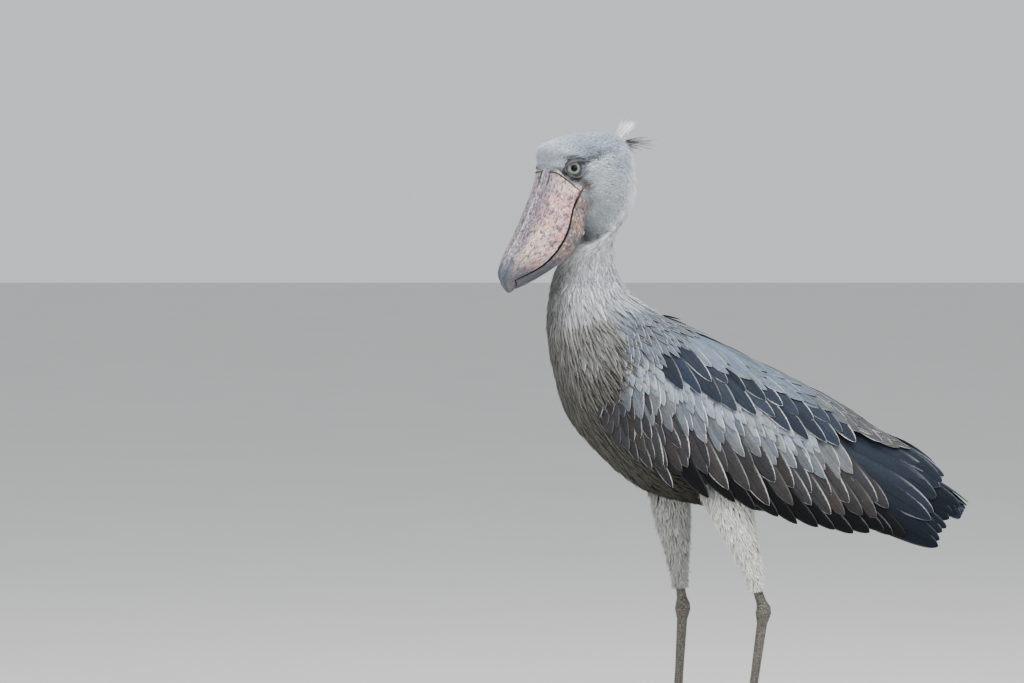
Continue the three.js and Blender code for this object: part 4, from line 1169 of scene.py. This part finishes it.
# %% Bill sections
# Ridge, cutting edge and lower outline (x, z), and half the breadth, in millimetres.
BILL = np.array([
    (-269, 968, -226, 930, -200, 899, 50),
    (-284, 929, -246, 901, -205, 869, 53),
    (-309, 875, -257, 866, -219, 838, 56),
    (-331, 837, -273, 835, -244, 813, 53),
    (-345, 815, -296, 809, -276, 794, 45),
    (-353, 792, -322, 792, -306, 777, 32),
    (-350, 774, -337, 783, -328, 767, 17),
]) * MM
NAIL_TIP = np.array((-337, 761)) * MM
UPPER_SHAPE = np.array([(0, 1), (0.09, 0.985), (0.2, 0.925), (0.42, 0.915), (0.7, 0.79), (0.9, 0.48),
                        (0.985, 0.2), (1, 0)])
LOWER_SHAPE = np.array([(0.95, 0), (0.93, 0.3), (0.8, 0.62), (0.55, 0.88), (0.28, 0.98), (0, 1)])
MOUTH_GAP = 1.3 * MM
NAIL_SHARES = (0.3, 0.55, 0.75, 0.9, 0.98)
# Heights on the bill in millimetres.
KEEL = 1.3
NOSTRIL = 2.0
GROOVE = 0.8
BASE_SWELL = 4.5
WAVE = 0.35


def bump(value, centre, width):
    """A soft hill, 1 at its centre."""
    return np.exp(-((value - centre) / width) ** 2)


def bill_rings(shape, outer_column, count, around, start=-0.12):
    """Rings of half a bill, head straight, and for each point: side, length along, share from the edge."""
    t = np.linspace(start, 6, count)
    rows = read_rows(BILL, t)
    curve = read_rows(shape, np.linspace(0, len(shape) - 1, around))
    if curve[0, 1] < 0.5:
        curve = curve[::-1]
    full = np.concatenate((curve[::-1] * (-1, 1), curve[1:]))
    edge, outer, half = rows[:, 2:4], rows[:, outer_column:outer_column + 2], rows[:, 6]
    rise = outer - edge
    tall = np.linalg.norm(rise, axis=1, keepdims=True)
    across, share = full[None, :, 0], full[None, :, 1]
    level = np.maximum(tall * share, MOUTH_GAP)
    side = half[:, None] * across
    t = t[:, None]
    if outer_column == 0:
        aside = np.abs(across)
        relief = (KEEL * bump(across, 0, 0.05)
                  - NOSTRIL * bump(aside, 0.27, 0.045) * bump(t, 0.5, 0.42)
                  - GROOVE * bump(aside, 0.25, 0.07) * smoothstep(5.5, 3, t)
                  + BASE_SWELL * bump(aside, 0.72, 0.2) * bump(t, 0, 0.6))
        level = level + relief * MM
        side = side * (1 + 0.018 * bump(share, 0.06, 0.05))
    wave = np.sin(7 * t + 4 * across) * np.sin(3 * t + 9 * across ** 2) * smoothstep(0.05, 0.3, share)
    level = level + WAVE * wave * MM
    flat = edge[:, None] + (rise / tall)[:, None] * level[..., None]
    points = np.stack((flat[..., 0], side, flat[..., 1]), -1)
    length = np.concatenate(([0], np.cumsum(np.linalg.norm(np.diff(outer, axis=0), axis=1))))[:, None]
    return points, np.stack(np.broadcast_arrays(across, length, share), -1)


def horn_piece(name, points, places, node_name):
    """Closes rings of the bill into a piece and rounds it once."""
    piece = tube(name, turn(points) + SHIFT)
    flat = places.reshape(-1, 3).astype(np.float32)
    piece.data.attributes.new("horn", "FLOAT_VECTOR", "POINT").data.foreach_set("vector", flat.reshape(-1))
    round_off = piece.modifiers.new("round", "SUBSURF")
    round_off.levels = round_off.render_levels = 1
    only(piece)
    bpy.ops.object.modifier_apply(modifier="round")
    bpy.ops.object.shade_smooth()
    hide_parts(node_name)
    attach(piece, "root")
    print(name, len(piece.data.polygons), "faces")
    return piece


points, places = bill_rings(UPPER_SHAPE, 0, 64, 30)
upper_base = points[3]
nail_tip = np.array((NAIL_TIP[0], 0, NAIL_TIP[1]))
last_ring, last_place = points[-1], places[-1]
middle = last_ring.mean(axis=0)
for share in NAIL_SHARES:
    ring = middle + (nail_tip - middle) * share + (last_ring - middle) * (1 - share ** 2) ** 0.5
    points = np.concatenate((points, ring[None]))
    places = np.concatenate((places, (last_place + (0, 0.012 * share, 0))[None]))
upper = horn_piece("bill_top", points, places, "bill_upper")
lower = horn_piece("bill_bottom", *bill_rings(LOWER_SHAPE, 4, 64, 22, -0.5), "bill_lower")

# %% [markdown]
# ## Horn
# The bill is straw and pink, blotched with slate and ink, and darkest on the ridge, the nail and the
# mouth's edge. Flat noise would look like paint, so the noise is read from the bill's own lengthwise
# measure and drawn out along it, layer over layer, as horn grows.

# %% Horn material
HORN_PINK = linear(222, 158, 146)
HORN_STRAW = linear(234, 200, 178)
HORN_SLATE = linear(92, 100, 118)
HORN_INK = linear(52, 48, 58)
HORN_PALE = linear(214, 208, 200)
HORN_WORN = linear(240, 234, 228)
LOWER_STRAW = linear(158, 120, 84)
LOWER_PINK = linear(146, 102, 92)
LOWER_SLATE = linear(66, 66, 76)
NAIL_SLATE = linear(66, 74, 86)
MOUTH_DARK = linear(22, 21, 24)
# Painted shade inside the nostril slots.
NOSTRIL_SHADE = linear(24, 22, 24)
# Layers of flecks: scale, detail and roughness of the noise, where a fleck starts and is full, how
# strongly it covers, and its colour.
HORN_FLECKS = [
    (330, 5, 0.7, 0.48, 0.54, 0.5, linear(118, 110, 128)),
    (230, 5, 0.72, 0.52, 0.56, 0.7, linear(62, 58, 74)),
    (460, 4, 0.7, 0.54, 0.58, 0.7, HORN_INK),
]


def horn_material(name, upper_half):
    """Horn with flecks drawn out along the bill. The horn attribute holds side, length and share."""
    material, tree, shader = new_material(name, 0.46)
    place = object_place(tree)
    horn = node(tree, "ShaderNodeAttribute", attribute_name="horn").outputs["Vector"]
    parts = node(tree, "ShaderNodeSeparateXYZ")
    tree.links.new(horn, parts.inputs[0])
    aside = calc(tree, "ABSOLUTE", parts.outputs[0])
    along, share = parts.outputs[1], parts.outputs[2]
    stretch = node(tree, "ShaderNodeMapping")
    stretch.inputs["Scale"].default_value = (0.055, 0.42, 0.035)
    tree.links.new(horn, stretch.inputs["Vector"])
    drawn = stretch.outputs[0]
    moved = node(tree, "ShaderNodeVectorMath", operation="ADD")
    tree.links.new(drawn, moved.inputs[0])
    moved.inputs[1].default_value = (3.1, 1.7, 0.4)

    def cover(under, mask, amount, colour):
        return mix(tree, calc(tree, "MULTIPLY", mask, amount), under, colour)

    def inverse(mask):
        return calc(tree, "SUBTRACT", 1.0, mask)

    warm = noise(tree, place, 26, 3)
    broad = ramp(tree, noise(tree, drawn, 95, 3, 0.6), 0.42, 0.62)
    if upper_half:
        base = mix(tree, ramp(tree, warm, 0.35, 0.65), HORN_PINK, HORN_STRAW)
        base = cover(base, inverse(ramp(tree, aside, 0.3, 0.75)), 0.8, HORN_SLATE)
        base = cover(base, broad, 0.45, HORN_SLATE)
        base = cover(base, inverse(ramp(tree, aside, 0.03, 0.09)), 0.55, HORN_PALE)
        nail = ramp(tree, along, 0.16, 0.2)
    else:
        base = mix(tree, ramp(tree, warm, 0.4, 0.6), LOWER_STRAW, LOWER_PINK)
        base = cover(base, broad, 0.85, LOWER_SLATE)
        nail = ramp(tree, along, 0.11, 0.16)
    base = cover(base, ramp(tree, noise(tree, moved.outputs[0], 380, 5, 0.7), 0.53, 0.58), 0.6, HORN_WORN)
    for scale, detail, rough, low, high, amount, colour in HORN_FLECKS:
        base = cover(base, ramp(tree, noise(tree, drawn, scale, detail, rough), low, high), amount, colour)
    base = cover(base, nail, 0.85, NAIL_SLATE)
    base = cover(base, inverse(ramp(tree, share, 0.03, 0.1)), 0.92, MOUTH_DARK)
    if upper_half:
        # The nostril slots, dented in the mesh, are painted near black as well: painted shade in the recess.
        off = calc(tree, "ABSOLUTE", calc(tree, "SUBTRACT", aside, 0.27))
        nostril = calc(tree, "MULTIPLY", ramp(tree, off, 0.045, 0.015), ramp(tree, along, 0.042, 0.03))
        base = mix(tree, nostril, base, NOSTRIL_SHADE)
    tree.links.new(base, shader.inputs["Base Color"])
    grain = calc(tree, "ADD", noise(tree, drawn, 420, 5, 0.65),
                 calc(tree, "MULTIPLY", noise(tree, place, 900, 2), 0.3))
    add_bump(tree, shader, grain, 0.0014, 0.6)
    return material


upper.data.materials.append(horn_material("worn_horn", True))
lower.data.materials.append(horn_material("lower_horn", False))

# %% [markdown]
# ## Folds of skin round the bill
# Horn doesn't grow straight out of feathers: a dark rim of bare skin holds it, and a wrinkle runs up
# from each corner of the mouth. Both are thin rolls along a path, thinner at their ends, so that they
# sink into the cheek without a seam.

# %% Folds of skin at the bill's base and at the corners of the mouth
fold_material = cloudy_material("mouth_skin", 0.6, linear(30, 26, 25), linear(86, 68, 62), 240, 4, 0.7)
# The wrinkle passes through places (x, y, z) of the straight head, in millimetres.
WRINKLE = [(-240, 50.5, 910), (-235, 50.5, 918), (-231, 50.5, 926), (-226, 50, 934), (-220, 50, 940),
           (-211, 49, 942)]
WRINKLE_RADIUS = 1.5
RIM_RADIUS = 1.3
RIM_OFFSET = np.array((-0.6, 0, -0.5)) * MM
RIM_START = 10 * MM
ROLL_STATIONS = 40
ROLL_SIDES = 10


def soft_roll(name, stops, radius):
    """A roll of skin along a path on the straight head, thinner at both ends."""
    way = read_rows(stops, np.linspace(0, len(stops) - 1, ROLL_STATIONS))
    swell = radius * MM * np.sin(np.linspace(0.12, pi - 0.12, ROLL_STATIONS)) ** 0.5
    return tube(name, limb_rings(list(zip(turn(way) + SHIFT, swell)), ROLL_SIDES))


def mouth_folds(side, title):
    rim = upper_base[upper_base[:, 1] * side > RIM_START]
    rim = rim[np.argsort(-rim[:, 2])] + RIM_OFFSET
    wrinkle = np.array(WRINKLE) * (1, side, 1) * MM
    folds = join([soft_roll("rim", rim, RIM_RADIUS), soft_roll("wrinkle", wrinkle, WRINKLE_RADIUS)],
                 f"mouth_folds_{title}")
    bpy.ops.object.shade_smooth()
    folds.data.materials.append(fold_material)
    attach(folds, "root")
    print(folds.name, len(folds.data.polygons), "faces")


for side, title in ((-1, "left"), (1, "right")):
    mouth_folds(side, title)

# %% [markdown]
# ## The eyes
# A pale ring of iris round a black pupil, on a wet smooth ball. Each eye is one sphere with the rings
# drawn by the angle from the eye's own axis. The dark lids are rings of skin round it, and two rolls of
# skin make the brow's edge above and the lower lid.

# %% Eyes
EYE_WAY = np.array((-0.28, 1, 0.02))
EYE_RADIUS = 14.8 * MM


def eye_material(name, centre, way):
    """An eye at a centre, looking a way: pupil, iris and a dark outer rim."""
    material, tree, shader = new_material(name, 0.12)
    off = node(tree, "ShaderNodeVectorMath", operation="SUBTRACT")
    tree.links.new(object_place(tree), off.inputs[0])
    off.inputs[1].default_value = centre
    straight = node(tree, "ShaderNodeVectorMath", operation="NORMALIZE")
    tree.links.new(off.outputs[0], straight.inputs[0])
    facing = node(tree, "ShaderNodeVectorMath", operation="DOT_PRODUCT")
    tree.links.new(straight.outputs[0], facing.inputs[0])
    facing.inputs[1].default_value = way
    near = facing.outputs["Value"]
    streak = noise(tree, straight.outputs[0], 9, 4)
    iris = mix(tree, streak, linear(166, 180, 166), linear(80, 92, 84))
    iris = mix(tree, ramp(tree, near, 0.905, 0.93), iris, linear(60, 70, 64))
    iris = mix(tree, calc(tree, "SUBTRACT", 1.0, ramp(tree, near, 0.7, 0.735)), iris, linear(22, 24, 24))
    black = mix(tree, ramp(tree, near, 0.928, 0.936), iris, (0.003, 0.003, 0.004))
    tree.links.new(black, shader.inputs["Base Color"])
    shader.inputs["Specular IOR Level"].default_value = 0.2
    return material


# %% Lids and eyeballs
LID_MATERIAL = cloudy_material("bare_lid", 0.6, linear(36, 36, 40), linear(78, 76, 80), 420, 3)
# The edges of the brow and of the lower lid, as places (x, y, z) of the straight head, and a radius.
LID_PATHS = {
    "brow_edge": ([(-262, 43, 962), (-253, 49, 972), (-241, 52.5, 976.5), (-228, 52, 976),
                   (-214, 50, 976)], 2.6),
    "lower_lid": ([(-256, 47, 957), (-248, 51, 951), (-239, 52, 949.5), (-229, 51.5, 952),
                   (-220, 50, 960)], 1.5),
}
# Rings round the eye: radius, distance in front of the eye's centre and thickness, in millimetres.
LID_RINGS = {"lid": (12.0, 9.4, 1.3), "lid_fold": (14.0, 7.8, 1.5)}


def finish_lid(piece, name):
    piece.name = name
    bpy.ops.object.shade_smooth()
    piece.data.materials.append(LID_MATERIAL)
    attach(piece, "root")


for side, title in ((-1, "left"), (1, "right")):
    for name, (stops, radius) in LID_PATHS.items():
        finish_lid(soft_roll(name, np.array(stops) * (1, side, 1) * MM, radius), f"{name}_{title}")
    centre = turn(EYE_AT * (1, side, 1)) + SHIFT
    way = unit(turn_only(EYE_WAY * (1, side, 1)))
    bpy.ops.object.select_all(action="DESELECT")
    bpy.ops.mesh.primitive_uv_sphere_add(segments=48, ring_count=32, radius=EYE_RADIUS, location=centre)
    eye = bpy.context.object
    eye.name = f"eyeball_{title}"
    bpy.ops.object.transform_apply(location=True, rotation=True, scale=True)
    bpy.ops.object.shade_smooth()
    eye.data.materials.append(eye_material(f"eye_{title}", centre, way))
    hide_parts(f"eye_{title}")
    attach(eye, "root")
    turned = Vector(way).to_track_quat("Z", "Y").to_euler()
    for name, (radius, reach, thick) in LID_RINGS.items():
        bpy.ops.object.select_all(action="DESELECT")
        bpy.ops.mesh.primitive_torus_add(
            major_radius=radius * MM, minor_radius=thick * MM, major_segments=48, minor_segments=12,
            location=centre + way * reach * MM, rotation=turned)
        bpy.ops.object.transform_apply(location=True, rotation=True, scale=True)
        finish_lid(bpy.context.object, f"{name}_{title}")
    print("eye", title, "at", np.round(centre, 4))

# %% [markdown]
# ## Legs and feet
# Bare, dark and scaly. The frame's solids have the right shape, so they are kept and given a skin
# of cracked scales and, on the claws, dark horn.

# %% Leg and claw materials
leg_material, tree, shader = new_material("scaly_leg", 0.62)
place = object_place(tree)
scales = node(tree, "ShaderNodeTexVoronoi", feature="DISTANCE_TO_EDGE")
scales.inputs["Scale"].default_value = 230
tree.links.new(place, scales.inputs["Vector"])
crack = ramp(tree, scales.outputs["Distance"], 0.0, 0.12)
dirt = mix(tree, noise(tree, place, 60, 4), linear(84, 80, 74), linear(120, 116, 106))
tree.links.new(mix(tree, crack, linear(46, 42, 38), dirt), shader.inputs["Base Color"])
add_bump(tree, shader, crack, 0.0008)
claw_material = cloudy_material("claw_horn", 0.38, linear(40, 38, 36), linear(88, 84, 78), 200, 4)
BARE_LEG = ("shank", "tarsus", "foot", "toe", "claw")
for title, cad_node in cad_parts.items():
    if title.startswith(BARE_LEG):
        cad_node.data.materials.clear()
        cad_node.data.materials.append(claw_material if title.startswith("claw") else leg_material)
print("bare parts", sum(title.startswith(BARE_LEG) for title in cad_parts))

# %% [markdown]
# ## Floor, light and camera
# A plain pale floor, one wide soft light above, a weaker one from either side, and a long lens at the
# photo's angle: a little above the bird's back and far away, so that near and far sides agree in size.

# %% Floor
bpy.ops.object.select_all(action="DESELECT")
bpy.ops.mesh.primitive_plane_add(size=40, location=(0, 0, 0))
floor = bpy.context.object
floor.name = "floor"
floor_material = cloudy_material("pale_floor", 0.9, (0.62, 0.62, 0.6), (0.66, 0.66, 0.64), 3, 2)
floor.data.materials.append(floor_material)

# %% Lights
world = bpy.data.worlds.new("soft_room")
bpy.context.scene.world = world
world.use_nodes = True
backdrop = world.node_tree.nodes["Background"]
backdrop.inputs["Color"].default_value = (0.93, 0.96, 1.0, 1)
backdrop.inputs["Strength"].default_value = 0.78
BODY_MIDDLE = (0, 0, 0.6)


def area_light(name, place, size, power, colour):
    """A square soft light at a place, aimed at the middle of the body."""
    data = bpy.data.lights.new(name, "AREA")
    data.shape = "SQUARE"
    data.size = size
    data.energy = power
    data.color = colour
    lamp = bpy.data.objects.new(name, data)
    bpy.context.scene.collection.objects.link(lamp)
    lamp.location = place
    lamp.rotation_euler = (Vector(BODY_MIDDLE) - Vector(place)).to_track_quat("-Z", "Y").to_euler()


area_light("sky", (0.3, -1.5, 3.6), 2.6, 200, (1.0, 0.99, 0.97))
area_light("left_side", (-3.0, -3.0, 1.8), 2.0, 55, (0.95, 0.97, 1.0))
area_light("right_side", (3.2, -3.2, 2.2), 2.0, 48, (1.0, 0.99, 0.97))

# %% Camera
# The photo's scale, its width, its middle and the pixels of the floor and of the drawing's x = 0.
PIXEL_SIZE = 1.65 * MM
FRAME_WIDTH = 1024
AIM_PIXEL = (512, 341.5)
FLOOR_PIXEL = 752
CENTRE_PIXEL = 700
CAMERA_AWAY = 9.7
CAMERA_HEIGHT = 1.15
SENSOR_WIDTH = 36
aim = Vector(((AIM_PIXEL[0] - CENTRE_PIXEL) * PIXEL_SIZE + SHIFT[0], 0,
              (FLOOR_PIXEL - AIM_PIXEL[1]) * PIXEL_SIZE))
camera_data = bpy.data.cameras.new("camera")
camera = bpy.data.objects.new("camera", camera_data)
bpy.context.scene.collection.objects.link(camera)
camera.location = (aim.x, -CAMERA_AWAY, CAMERA_HEIGHT)
line_of_sight = aim - camera.location
camera.rotation_euler = line_of_sight.to_track_quat("-Z", "Y").to_euler()
camera_data.sensor_width = SENSOR_WIDTH
camera_data.lens = SENSOR_WIDTH * line_of_sight.length / (FRAME_WIDTH * PIXEL_SIZE)
camera_data.clip_end = 60
bpy.context.scene.camera = camera
print("lens", round(camera_data.lens, 1))
